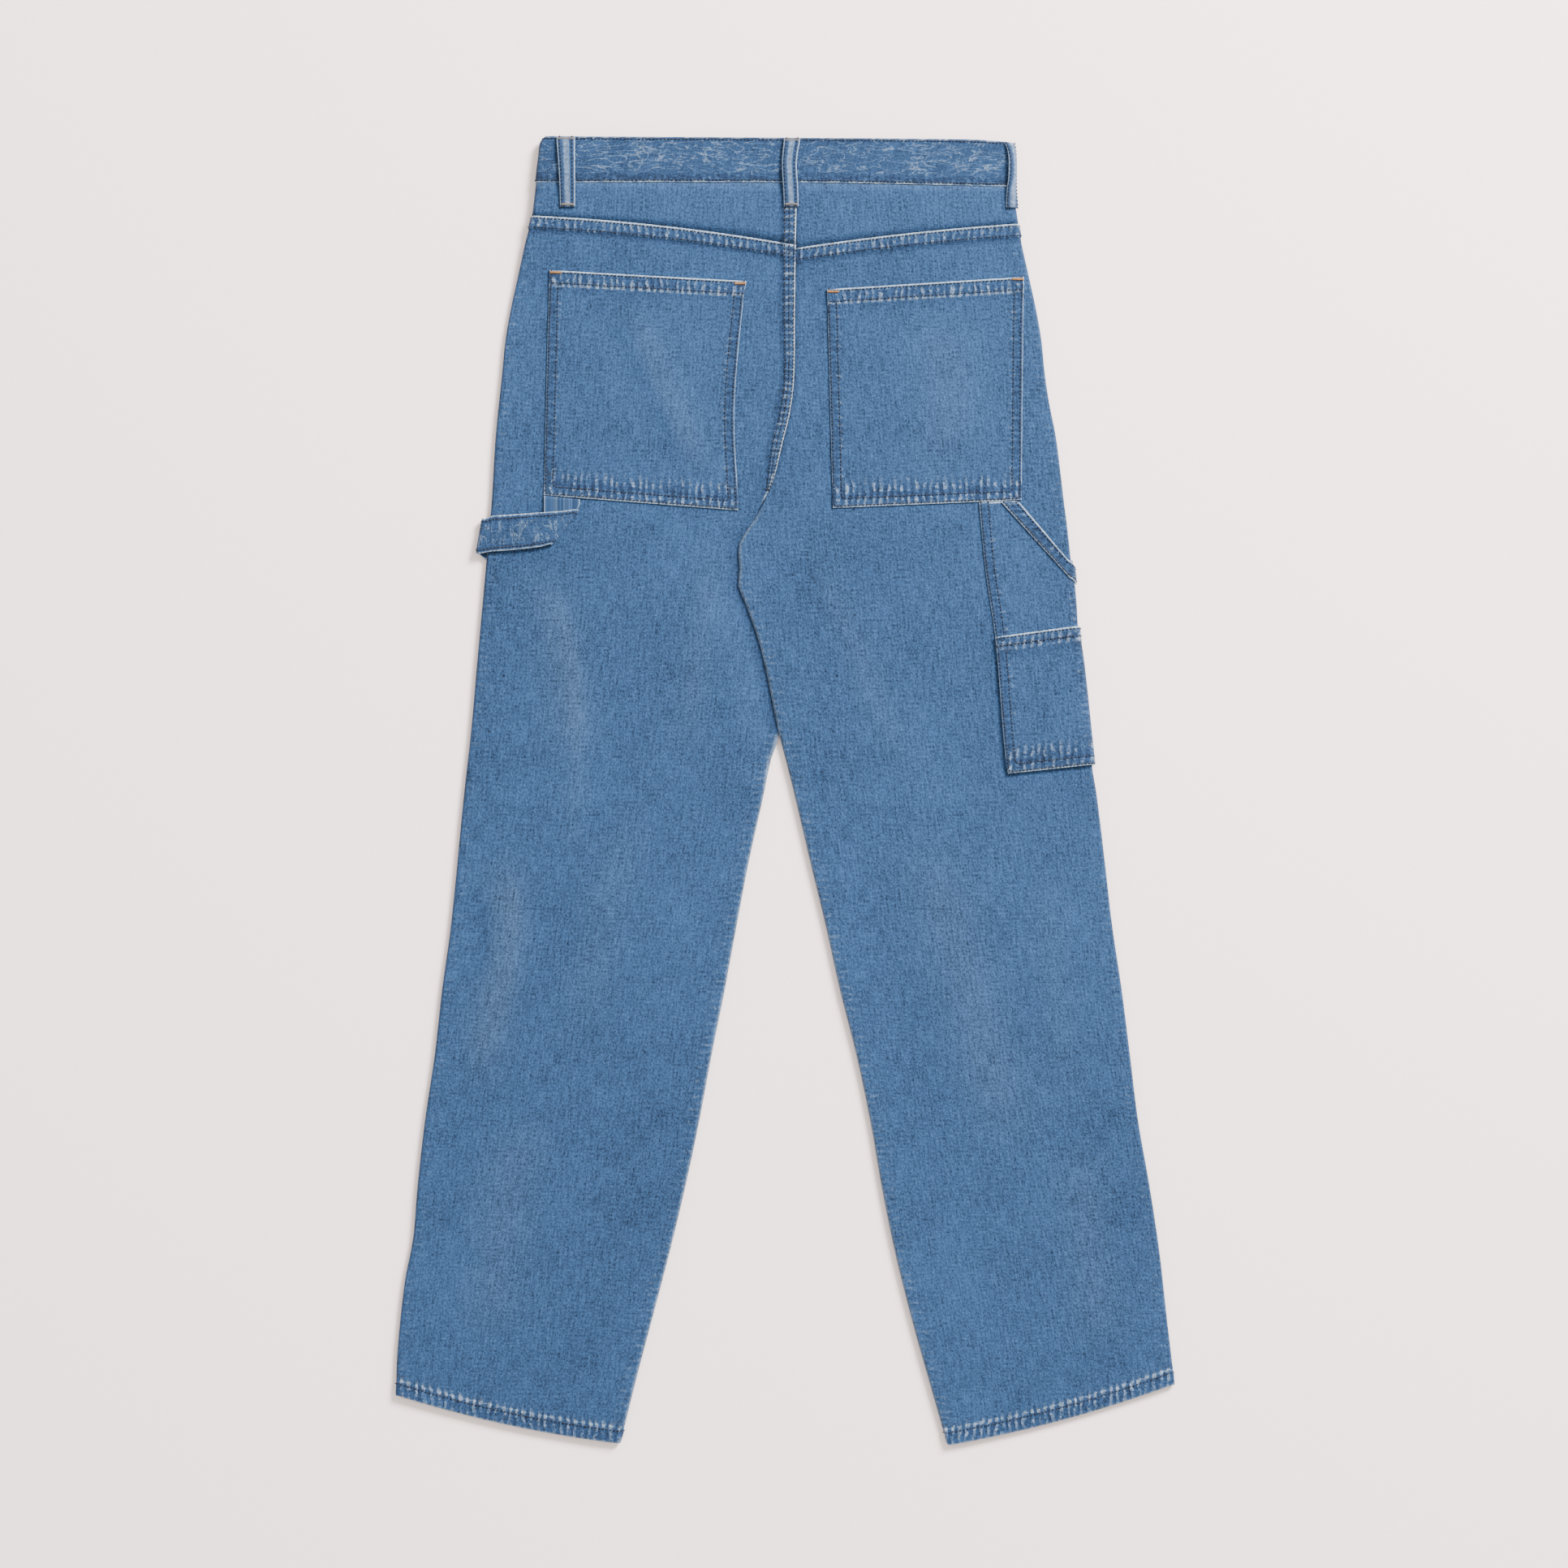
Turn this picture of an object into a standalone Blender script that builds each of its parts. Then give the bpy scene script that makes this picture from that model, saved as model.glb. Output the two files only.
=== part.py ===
"""Carpenter pants lying flat with the back side up, as closed cloth bodies.

Tables hold millimetres. Across runs to the right as seen from above, down runs from the waist
towards the hems, and out is measured from a panel's outer face, away from the cloth.
Each leg has its own measure, reach, which grows from the garment's middle towards that side seam.
"""
import math

import bpy

MILLIMETRE = 0.001

# Centre of the whole outline, which becomes the origin
ORIGIN_ACROSS = 0.0
ORIGIN_DOWN = 539.35

# Cloth and seams
GAP = 0.3
WALL = 1.2
SEAM_RAISE = 0.8
HEM_TURN_UP = 1.0

# Leg tubes: full height, the higher part near the waist, and how far the waist is lifted
TUBE_HEIGHT = 5.5
WAIST_EXTRA = 0.5
WAIST_LIFT = 3.0
LIFT_FROM = 60.0
LIFT_TO = 140.0
MID_SAG = 0.6
SAG_WIDTH = 60.0
# Depths between which the sag sets in below the waist, and starts to leave out the fork
SAG_SETS_IN = (100.0, 180.0)
SAG_LEAVES_FORK = (280.0, 315.0)

# Left leg pressed flat under the right one
PRESSED_HEIGHT = 2.7
PRESS_FROM = 270.0
PRESS_FULL = 314.0
PRESS_MARGIN = 4.0
PRESS_WIDTH = 35.0

# Side seams of the two legs (down, reach)
LEFT_SIDE = (
    (39.0, 205.4), (66.0, 208.7), (87.0, 214.1), (114.0, 220.1), (141.0, 226.1), (168.0, 230.8),
    (195.0, 233.5), (248.0, 238.9), (302.0, 242.2), (355.0, 246.9), (436.0, 254.3), (489.0, 259.0),
    (543.0, 265.0), (650.0, 275.7), (704.0, 283.1), (757.0, 289.1), (811.0, 297.1), (865.0, 303.2),
    (907.0, 306.6), (918.0, 308.6), (945.0, 313.9), (999.0, 319.6), (1038.0, 321.3),
)
RIGHT_SIDE = (
    (41.0, 187.3), (62.0, 190.6), (87.0, 194.6), (114.0, 200.7), (141.0, 206.7), (168.0, 211.4),
    (195.0, 214.1), (221.0, 218.1), (248.0, 223.4), (302.0, 230.1), (329.0, 233.5), (382.0, 238.7),
    (409.0, 240.5), (436.0, 244.2), (489.0, 249.9), (516.0, 252.6), (543.0, 257.0), (597.0, 263.6),
    (650.0, 269.7), (704.0, 277.7), (757.0, 284.4), (811.0, 291.1), (865.0, 300.5), (918.0, 308.5),
    (972.0, 314.6), (1029.0, 321.3),
)

# Seat seam, fork and inseam of the right back (down, across)
RIGHT_BACK_EDGE = (
    (39.0, 10.1), (92.0, 9.0), (152.0, 8.4), (199.0, 7.7), (227.0, 4.4), (252.0, -1.7), (283.0, -9.4),
    (294.5, -14.4), (314.0, -24.5), (329.0, -34.5), (338.0, -38.5), (360.0, -37.5), (366.0, -39.2),
    (373.0, -37.9), (382.0, -33.8), (422.0, -20.1), (493.0, -5.0), (516.0, 1.0), (543.0, 7.7),
    (597.0, 20.4), (650.0, 33.2), (704.0, 45.2), (757.0, 58.6), (811.0, 70.0), (865.0, 79.4),
    (918.0, 90.1), (972.0, 103.5), (1025.0, 118.3), (1078.4, 133.7),
)
# Left back's edge hidden under the right leg, then its inseam (down, across)
LEFT_BACK_EDGE = (
    (314.0, -24.8), (332.0, -17.0), (352.0, -9.0), (380.0, -5.0), (440.0, -4.3), (493.0, -5.3),
    (516.0, -12.4), (543.0, -17.8), (597.0, -29.8), (650.0, -39.9), (704.0, -49.9), (757.0, -60.6),
    (811.0, -70.7), (865.0, -82.1), (918.0, -94.8), (972.0, -108.9), (1025.0, -122.9), (1077.0, -135.7),
)
# Where the two fronts meet (down, across)
FRONT_MIDDLE = ((53.0, 4.0), (300.0, -3.4), (440.0, -4.3), (493.0, -5.3))
LEGS_PART = 493.0
# Depths between which the panels' inner edges turn round the tubes
RIGHT_BACK_TURN = (288.0, 325.0)
RIGHT_FRONT_TURN = (400.0, 480.0)
INSEAM_TURN = (LEGS_PART, 545.0)
QUARTER_TURN = math.radians(90.0)
FORK_BEND = 2.4

# Width of the seat seam's raised strip (down, width)
SEAT_STRIP = (
    (39.0, 11.1), (152.0, 9.6), (199.0, 8.4), (252.0, 8.7), (283.0, 5.0), (294.0, 2.5), (330.0, 2.72),
)
# Width of the slope beside the strip (down, width), and the depths between which the strip runs out
STRIP_STEP = ((283.0, 0.7), (330.0, 1.36))
STRIP_RUNS_OUT = (270.0, 294.0)
STRIP_COLUMNS = 3
# Widths of the first columns beside an inseam
INSEAM_GROUP = 2.72
INSEAM_STEP = 1.36

# Largest folds (down, reach), with their height, half width and fade at each end
LEFT_FOLDS = (
    (((349.0, 204.7), (396.0, 190.6), (449.0, 180.6), (523.0, 175.2)), 0.9, 16.0, 45.0),
    (((583.0, 232.8), (657.0, 231.5), (737.0, 246.2), (791.0, 252.9)), 1.2, 15.0, 50.0),
    (((617.0, 257.0), (670.0, 256.0), (704.0, 258.0)), -0.8, 12.0, 30.0),
    (((135.0, 153.8), (217.0, 120.9), (286.0, 90.8)), -0.8, 14.0, 40.0),
    (((135.0, 128.0), (217.0, 95.0), (286.0, 65.0)), 0.8, 14.0, 40.0),
    (((800.0, 215.0), (900.0, 235.0), (1000.0, 245.0)), 0.7, 22.0, 50.0),
)
RIGHT_FOLDS = (
    (((560.0, 110.0), (700.0, 150.0), (850.0, 190.0)), 0.8, 24.0, 80.0),
    (((140.0, 120.0), (210.0, 135.0), (285.0, 120.0)), 0.6, 22.0, 45.0),
    (((820.0, 240.0), (920.0, 250.0), (1010.0, 262.0)), 0.6, 18.0, 50.0),
)

# Rows of the panels from side seam to inner edge (side down, inner down, bow, seam raise, rows to the next)
LEFT_BACK_ROWS = (
    (66.0, 90.0, -3.5, SEAM_RAISE, 1),
    (76.4, 100.4, -3.5, SEAM_RAISE, 1),
    (77.1, 101.1, -3.5, 0.0, 1),
    (109.4, 121.8, 0.0, 0.0, 1),
    (120.8, 133.2, 0.0, 0.0, 1),
    (121.5, 133.9, 0.0, 0.0, 1),
    (145.7, 164.1, 0.0, 0.0, 6),
    (290.7, 308.8, 2.6, 0.0, 3),
    (336.0, 352.0, 0.0, 0.0, 6),
    (474.0, 488.0, 0.0, 0.0, 4),
    (550.0, 566.0, 0.0, 0.0, 4),
    (700.0, 722.0, 1.0, 0.0, 9),
    (1026.3, 1065.3, 4.5, 0.0, 1),
    (1027.0, 1066.0, 4.5, 0.0, 1),
    (1038.0, 1077.0, 4.5, 0.0, 0),
)
RIGHT_BACK_ROWS = (
    (72.7, 92.5, -2.0, SEAM_RAISE, 1),
    (83.1, 102.9, -2.0, SEAM_RAISE, 1),
    (83.8, 103.6, -2.0, 0.0, 1),
    (116.0, 127.9, 0.0, 0.0, 1),
    (127.4, 139.3, 0.0, 0.0, 1),
    (128.1, 140.0, 0.0, 0.0, 7),
    (298.3, 308.8, 0.0, 0.0, 8),
    (403.9, 438.0, 0.0, 0.0, 1),
    (412.6, 446.7, 0.0, 0.0, 1),
    (413.3, 447.4, 0.0, 0.0, 5),
    (518.0, 544.0, 0.0, 0.0, 13),
    (1017.3, 1066.7, 4.5, 0.0, 1),
    (1018.0, 1067.4, 4.5, 0.0, 1),
    (1029.0, 1078.4, 4.5, 0.0, 0),
)
LEFT_YOKE_ROWS = ((38.8, 38.8, 0.0, 0.0, 4), (65.7, 89.7, -3.5, 0.0, 0))
RIGHT_YOKE_ROWS = ((42.2, 38.8, 0.0, 0.0, 4), (72.4, 92.2, -2.0, 0.0, 0))
LEFT_FRONT_ROWS = (
    (38.8, 53.3, 0.0, 0.0, 6),
    (140.0, 150.0, 0.0, 0.0, 4),
    (300.0, 315.0, 0.0, 0.0, 4),
    (474.0, 488.0, 0.0, 0.0, 4),
    (550.0, 566.0, 0.0, 0.0, 8),
    (1026.3, 1065.3, 4.5, 0.0, 1),
    (1027.0, 1066.0, 4.5, 0.0, 1),
    (1038.0, 1077.0, 4.5, 0.0, 0),
)
RIGHT_FRONT_ROWS = (
    (42.2, 53.3, 0.0, 0.0, 6),
    (140.0, 150.0, 0.0, 0.0, 5),
    (385.0, 400.0, 0.0, 0.0, 4),
    (465.0, 485.0, 0.0, 0.0, 3),
    (550.0, 570.0, 0.0, 0.0, 8),
    (1017.3, 1066.7, 4.5, 0.0, 1),
    (1018.0, 1067.4, 4.5, 0.0, 1),
    (1029.0, 1078.4, 4.5, 0.0, 0),
)

# Lengthwise lines of the back panels that pockets are cut along (down, reach)
LEFT_POCKET_INNER = (
    (66.0, 30.0), (119.6, 32.1), (131.0, 34.2), (224.0, 41.9), (305.0, 38.9), (338.0, 52.0), (500.0, 60.0),
    (1077.0, 175.0),
)
LEFT_FORK_GUIDE = (
    (66.0, 14.0), (252.0, 25.0), (294.5, 31.0), (314.0, 34.0), (338.0, 42.5), (373.0, 42.0), (422.0, 25.0),
    (493.0, 13.0), (543.0, 28.0), (1077.0, 150.0),
)
LEFT_POCKET_OUTER = ((66.0, 190.0), (111.0, 194.0), (294.0, 199.0), (550.0, 215.0), (1077.0, 290.0))
RIGHT_POCKET_INNER = ((92.0, 33.0), (126.3, 34.5), (306.5, 39.2), (520.0, 62.0), (1078.0, 160.0))
RIGHT_POCKET_OUTER = (
    (73.0, 184.0), (116.0, 196.6), (300.0, 194.6), (410.0, 205.0), (530.0, 215.0), (1078.0, 288.0),
)
TOOL_POCKET_INNER = (
    (73.0, 150.0), (300.0, 159.6), (357.0, 165.0), (413.7, 173.2), (515.6, 181.9), (525.6, 184.3),
    (1078.0, 250.0),
)

# Number of steps over a side seam's turn, and of passes that place a guide and the slanted cut
TURN_COLUMNS = 3
GUIDE_PASSES = 4
OPENING_PASSES = 6

# Patch pockets
POCKET_HEM_RAISE = 0.5

# Slanted opening of the tool pocket: both edges of its band as straight lines (down, reach)
OPENING_UPPER_EDGE = ((301.4, 192.6), (354.5, 237.7))
OPENING_LOWER_EDGE = ((301.4, 177.8), (369.1, 239.0))
OPENING_STATIONS = (0.0, 0.2, 0.4, 0.6, 0.78, 0.92, 0.945, 0.97, 1.0)
OPENING_COLUMNS = 3
OPENING_INSET = 0.8
OPENING_OVERHANG = 1.3
TURN_MARGIN = 2.4
POCKET_CLEARANCE = 0.5

# Waistband
BAND_WALL = 2.0
BAND_BEND = 3.4
BAND_MIDDLE = 6.0
BAND_FRONT_DIP = 12.0
BAND_FRONT_CENTRE = 4.0
BAND_HALF = 190.0
BAND_LEFT_END = 24.0
BAND_RIGHT_END = -18.0
BAND_OVERLAP_RAMP = (26.0, 44.0)
BAND_UNDER_STEPS = 7
BAND_TURN_STEPS = 6
BAND_BACK_STEPS = 14
BAND_OVER_PLACES = (150.0, 110.0, 75.0, 50.0, 44.0, 38.0, 32.0, 26.0, 12.0, -3.0, BAND_RIGHT_END)
# Rows of the waistband (share of its depth, left side across, right side across)
BAND_ROWS = (
    (0.0, -198.5, 186.3),
    (0.12, -202.0, 187.3),
    (0.42, -203.6, 187.3),
    (0.7, -205.0, 187.3),
    (1.0, -206.2, 187.3),
)
BAND_TOP = ((-196.0, 0.3), (150.0, 3.0), (187.0, 5.4))
BAND_BOTTOM = ((-206.0, 38.5), (10.0, 38.5), (187.0, 41.9))

# Belt loops, and the depths between which they step down from the waistband to the yoke
LOOP_WALL = 1.5
LOOP_COLUMNS = 3
LOOP_STEPS_DOWN = (42.0, 50.0)
# Belt loops lying on the back (down, left edge, right edge, arch)
BACK_LEFT_LOOP = (
    (1.0, -188.0, -172.9, 0.0), (5.0, -188.0, -172.9, 0.8), (13.0, -187.4, -172.9, 1.4),
    (23.0, -186.6, -172.9, 1.6), (33.0, -186.0, -172.9, 1.3), (41.0, -185.7, -172.9, 0.7),
    (48.0, -185.5, -172.9, 0.2), (58.5, -185.3, -172.9, 0.0),
)
CENTRE_LOOP = (
    (2.2, -1.0, 12.4, 0.0), (6.0, -1.2, 12.0, 0.8), (13.0, -2.0, 10.6, 1.4), (23.0, -2.7, 9.4, 1.6),
    (33.0, -2.4, 9.8, 1.3), (41.0, -1.8, 10.4, 0.7), (48.0, -1.4, 10.8, 0.2), (58.5, -1.0, 11.0, 0.0),
)
# Belt loop that turns round the right side (down, bend centre across, bend radius, flat part, end angle)
BACK_RIGHT_LOOP = (
    (6.2, 183.9, 3.7, 3.4, 100.0), (11.0, 183.9, 4.5, 1.4, 110.0), (19.0, 183.9, 5.4, 0.2, 124.0),
    (28.0, 183.9, 5.6, 0.2, 126.0), (36.0, 184.0, 5.2, 0.6, 118.0), (43.5, 184.6, 4.5, 2.2, 106.0),
    (50.0, 185.8, 3.8, 3.8, 94.0), (59.5, 187.3, 3.2, 5.6, 86.0),
)
LOOP_BEND_STEPS = 5
# Belt loops under the front (down, arch)
FRONT_LOOP = ((9.5, 0.0), (13.0, 0.4), (24.0, 0.5), (36.0, 0.5), (48.0, 0.4), (55.0, 0.1), (66.0, 0.0))
FRONT_LOOP_WIDTH = 12.0
FRONT_LOOP_LEFT = -106.0
FRONT_LOOP_RIGHT = 102.0

# Button on the outer end of the waistband, under the garment
BUTTON_ACROSS = 4.0
BUTTON_DOWN = 33.0
BUTTON_RADIUS = 8.5
BUTTON_HEIGHT = 2.2
BUTTON_CHAMFER = 0.5
BUTTON_SIDES = 24

# Hammer loop
STRAP_WALL = 1.6
STRAP_COLUMNS = 4
FIRST_BEND = 0.95
SECOND_BEND = 2.1
RETURN_HEIGHT = 2.6
FOLD_STEPS = 4
# Rows of the strap (upper edge across, down, lower edge across, down, lift of its middle surface)
STRAP_UNDER = (
    (-169.2, 299.2, -198.7, 296.1, 1.3),
    (-169.2, 303.0, -198.7, 311.0, 1.3),
)
FIRST_FOLD = (-169.6, 308.3, -192.0, 337.1)
STRAP_OVER = (
    (-184.0, 308.9, -202.0, 338.4, 3.2),
    (-208.0, 310.5, -214.0, 340.0, 3.1),
    (-226.8, 311.9, -229.0, 341.4, 2.6),
    (-240.5, 312.6, -243.0, 342.3, 2.0),
)
SECOND_FOLD = (-250.2, 314.6, -255.3, 343.6)
STRAP_RETURN_DOWN = 5.0


def ease(value, start, end):
    """Smooth step from 0 at start to 1 at end."""
    share = min(max((value - start) / (end - start), 0.0), 1.0)
    return share * share * (3.0 - 2.0 * share)


def between(table, key):
    """Value of a two-column table at a key, by straight lines between its rows."""
    for (low, first), (high, last) in zip(table, table[1:]):
        if key <= high:
            share = max((key - low) / (high - low), 0.0)
            return first + (last - first) * share
    return table[-1][1]


def blend(first, last, share):
    """Number that lies a share of the way from first to last."""
    return first + (last - first) * share


class Leg:
    """One leg's edges and turns; side is -1 for the leg on the left and 1 for the one on the right."""

    def __init__(self, side, side_edge, folds):
        self.side = side
        self.side_edge = side_edge
        self.folds = folds

    def back_edge(self, down):
        """Reach of the back panel's inner edge."""
        if self.side > 0:
            return between(RIGHT_BACK_EDGE, down)
        if down <= PRESS_FULL:
            return GAP - between(RIGHT_BACK_EDGE, down)
        return -between(LEFT_BACK_EDGE, down)

    def front_edge(self, down):
        """Reach of the front panel's inner edge."""
        if down > LEGS_PART:
            return self.back_edge(down)
        if self.side > 0:
            return between(FRONT_MIDDLE, down) + GAP
        return -between(FRONT_MIDDLE, down)

    def back_turn(self, down):
        """Angle through which the back panel's inner edge turns down."""
        if self.side > 0:
            return QUARTER_TURN * ease(down, *RIGHT_BACK_TURN)
        return QUARTER_TURN * ease(down, *INSEAM_TURN)

    def front_turn(self, down):
        """Angle through which the front panel's inner edge turns up."""
        if self.side > 0:
            return QUARTER_TURN * ease(down, *RIGHT_FRONT_TURN)
        return QUARTER_TURN * ease(down, *INSEAM_TURN)

    def inner_bend(self, down):
        """Radius of the inner edge's turn, tighter where the right leg lies on the left one."""
        if self.side > 0 and down < LEGS_PART:
            return FORK_BEND
        return (TUBE_HEIGHT - GAP) / 2.0

    def press(self, reach, down):
        """How far the left back is pressed flat under the right leg, from 0 to 1."""
        if self.side > 0:
            return 0.0
        amount = ease(down, PRESS_FROM, PRESS_FULL) * math.cos(self.back_turn(down))
        if down < LEGS_PART:
            cover = -between(RIGHT_BACK_EDGE, down)
        else:
            cover = self.back_edge(down)
        return amount * (1.0 - ease(reach - cover, PRESS_MARGIN, PRESS_WIDTH))


LEFT_LEG = Leg(-1.0, LEFT_SIDE, LEFT_FOLDS)
RIGHT_LEG = Leg(1.0, RIGHT_SIDE, RIGHT_FOLDS)


def floor_lift(down):
    """Height of the fronts' outer face above the floor."""
    return WAIST_LIFT * (1.0 - ease(down, LIFT_FROM, LIFT_TO))


def tube_height(down):
    """Height of a leg tube near its side seam."""
    return TUBE_HEIGHT + WAIST_EXTRA * (1.0 - ease(down, LIFT_FROM, LIFT_TO))


def side_bend(down):
    """Radius of the side seam's turn."""
    return (tube_height(down) - GAP) / 2.0


def fold_height(leg, reach, down):
    """Height that the large folds add at a point."""
    total = 0.0
    for path, height, half_width, fade in leg.folds:
        start = path[0][0]
        end = path[-1][0]
        strength = ease(down, start, start + fade) * (1.0 - ease(down, end - fade, end))
        away = (reach - between(path, down)) / half_width
        total += height * strength * math.exp(-away * away)
    return total


def back_height(leg, reach, down):
    """Height of a back panel's outer face on its flat part."""
    edge = floor_lift(down) + tube_height(down)
    from_side = ease(between(leg.side_edge, down) - reach, 0.0, SAG_WIDTH)
    from_edge = ease(reach - leg.back_edge(down), 0.0, SAG_WIDTH)
    from_inner = 1.0 - ease(down, *SAG_LEAVES_FORK) * (1.0 - from_edge)
    sag = MID_SAG * from_side * from_inner * ease(down, *SAG_SETS_IN)
    free = edge - sag + fold_height(leg, reach, down)
    return blend(free, PRESSED_HEIGHT, leg.press(reach, down))


def back_point(leg, reach, down, out):
    """Point on a back panel; past the flat part, reach goes round the turned edges."""
    bend = side_bend(down)
    flat_end = between(leg.side_edge, down) - bend
    turn = leg.back_turn(down)
    inner_bend = leg.inner_bend(down)
    flat_start = leg.back_edge(down) + inner_bend * math.sin(turn)
    if reach > flat_end:
        angle = (reach - flat_end) / bend
        across = flat_end + (bend + out) * math.sin(angle)
        height = back_height(leg, flat_end, down) - bend + (bend + out) * math.cos(angle)
    elif reach < flat_start:
        angle = (flat_start - reach) / inner_bend
        across = flat_start - (inner_bend + out) * math.sin(angle)
        height = back_height(leg, flat_start, down) - inner_bend + (inner_bend + out) * math.cos(angle)
    else:
        across = reach
        height = back_height(leg, reach, down) + out
    return (leg.side * across, down, height)


def front_point(leg, reach, down, out):
    """Point on a front panel, whose outer face lies on the floor."""
    bend = side_bend(down)
    flat_end = between(leg.side_edge, down) - bend
    inner_bend = leg.inner_bend(LEGS_PART)
    flat_start = leg.front_edge(down) + inner_bend * math.sin(leg.front_turn(down))
    base = floor_lift(down)
    if reach > flat_end:
        angle = (reach - flat_end) / bend
        across = flat_end + (bend + out) * math.sin(angle)
        height = base + bend - (bend + out) * math.cos(angle)
    elif reach < flat_start:
        angle = (flat_start - reach) / inner_bend
        across = flat_start - (inner_bend + out) * math.sin(angle)
        height = base + inner_bend - (inner_bend + out) * math.cos(angle)
    else:
        across = reach
        height = base - out
    return (leg.side * across, down, height)


def spread_rows(key_rows):
    """All rows of a panel, with even ones filled in between the key rows."""
    rows = []
    for first, last in zip(key_rows, key_rows[1:]):
        count = first[4]
        for step in range(count):
            share = step / count
            raise_height = first[3] if step == 0 else 0.0
            rows.append((
                blend(first[0], last[0], share),
                blend(first[1], last[1], share),
                blend(first[2], last[2], share),
                raise_height,
            ))
    rows.append(key_rows[-1][:4])
    return rows


def row_down(row, reach, flat_start, flat_end):
    """Depth of a row at a reach."""
    side_down, inner_down, bow = row[:3]
    share = min(max((flat_end - reach) / (flat_end - flat_start), 0.0), 1.0)
    return blend(side_down, inner_down, share) + bow * 4.0 * share * (1.0 - share)


def inner_group(leg, inner_down, back):
    """Distances of the first four columns from a panel's inner edge."""
    if back and leg.side < 0:
        strip = between(SEAT_STRIP, inner_down)
        return (0.0, strip / 2.0, strip, strip + between(STRIP_STEP, inner_down))
    return (0.0, INSEAM_GROUP / 2.0, INSEAM_GROUP, INSEAM_GROUP + INSEAM_STEP)


def panel_columns(leg, row, guides, fills, back=True):
    """Reach and depth of every grid point in a row, from the inner edge to the side seam."""
    side_down, inner_down = row[:2]
    bend = side_bend(side_down)
    flat_end = between(leg.side_edge, side_down) - bend
    if back:
        edge = leg.back_edge(inner_down)
        turn = leg.back_turn(inner_down)
        inner_bend = leg.inner_bend(inner_down)
    else:
        edge = leg.front_edge(inner_down)
        turn = leg.front_turn(inner_down)
        inner_bend = leg.inner_bend(LEGS_PART)
    flat_start = edge + inner_bend * math.sin(turn)
    inner_end = flat_start - inner_bend * turn
    columns = [inner_end + distance for distance in inner_group(leg, inner_down, back)]
    stops = []
    for guide in guides:
        reach = 0.5 * (flat_start + flat_end)
        for _ in range(GUIDE_PASSES):
            reach = between(guide, row_down(row, reach, flat_start, flat_end))
        stops.append(reach)
    stops.append(flat_end)
    for stop, count in zip(stops, fills):
        start = columns[-1]
        for step in range(1, count + 1):
            columns.append(blend(start, stop, step / count))
    for step in range(1, TURN_COLUMNS + 1):
        columns.append(flat_end + bend * QUARTER_TURN * step / TURN_COLUMNS)
    return [(reach, row_down(row, reach, flat_start, flat_end)) for reach in columns]


def slab(name, outer, inner):
    """Body between two matching grids of points, whose rows may differ in length."""
    starts = []
    size = 0
    for row in outer:
        starts.append(size)
        size += len(row)
    points = [point for row in outer for point in row] + [point for row in inner for point in row]
    faces = []
    borders = {}
    for number in range(len(outer) - 1):
        for column in range(min(len(outer[number]), len(outer[number + 1])) - 1):
            corner = starts[number] + column
            below = starts[number + 1] + column
            for face in ((corner, corner + 1, below + 1), (corner, below + 1, below)):
                faces.append(face)
                faces.append(tuple(size + index for index in reversed(face)))
                for start, end in zip(face, face[1:] + face[:1]):
                    if (end, start) in borders:
                        del borders[(end, start)]
                    else:
                        borders[(start, end)] = True
    for start, end in borders:
        faces.append((end, start, size + start, size + end))
    return (name, points, faces)


def panel(name, leg, key_rows, guides, fills, back=True):
    """Back or front panel with its seam strips and turned-up hem, and its grid of reach and depth."""
    rows = spread_rows(key_rows)
    grid = [panel_columns(leg, row, guides, fills, back) for row in rows]
    point_at = back_point if back else front_point
    has_hem = len(key_rows) > 2
    outer = []
    inner = []
    for number, (row, places) in enumerate(zip(rows, grid)):
        hem = HEM_TURN_UP if has_hem and number >= len(rows) - 2 else 0.0
        outer_row = []
        inner_row = []
        for column, (reach, down) in enumerate(places):
            seam = row[3]
            if back and leg.side < 0 and column < STRIP_COLUMNS:
                seam = max(seam, SEAM_RAISE * (1.0 - ease(down, *STRIP_RUNS_OUT)))
            outer_row.append(point_at(leg, reach, down, seam))
            inner_row.append(point_at(leg, reach, down, -WALL - hem))
        outer.append(outer_row)
        inner.append(inner_row)
    return slab(name, outer, inner), rows, grid


def patch_pocket(name, leg, grid, first_row, hem_rows, last_row, first_column, last_column):
    """Patch pocket made from its panel's own points, moved out."""
    outer = []
    inner = []
    for number in range(first_row, last_row + 1):
        hem = POCKET_HEM_RAISE if number - first_row < hem_rows else 0.0
        places = grid[number][first_column:last_column + 1]
        outer.append([back_point(leg, reach, down, GAP + WALL + hem) for reach, down in places])
        inner.append([back_point(leg, reach, down, GAP) for reach, down in places])
    return slab(name, outer, inner)


def tool_patch(name, rows_places, start_out, hem_rows):
    """Patch of the tool pocket, on the right leg's back."""
    outer = []
    inner = []
    for number, places in enumerate(rows_places):
        hem = POCKET_HEM_RAISE if number < hem_rows else 0.0
        outer.append([back_point(RIGHT_LEG, reach, down, start_out + WALL + hem) for reach, down in places])
        inner.append([back_point(RIGHT_LEG, reach, down, start_out) for reach, down in places])
    return slab(name, outer, inner)


def opening_limit(down):
    """Reach at which the upper patch's slanted edge cuts a depth."""
    (top_down, top_reach), (end_down, end_reach) = OPENING_UPPER_EDGE
    slope = (end_reach - top_reach) / (end_down - top_down)
    return top_reach + slope * (down - top_down) - OPENING_OVERHANG


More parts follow.
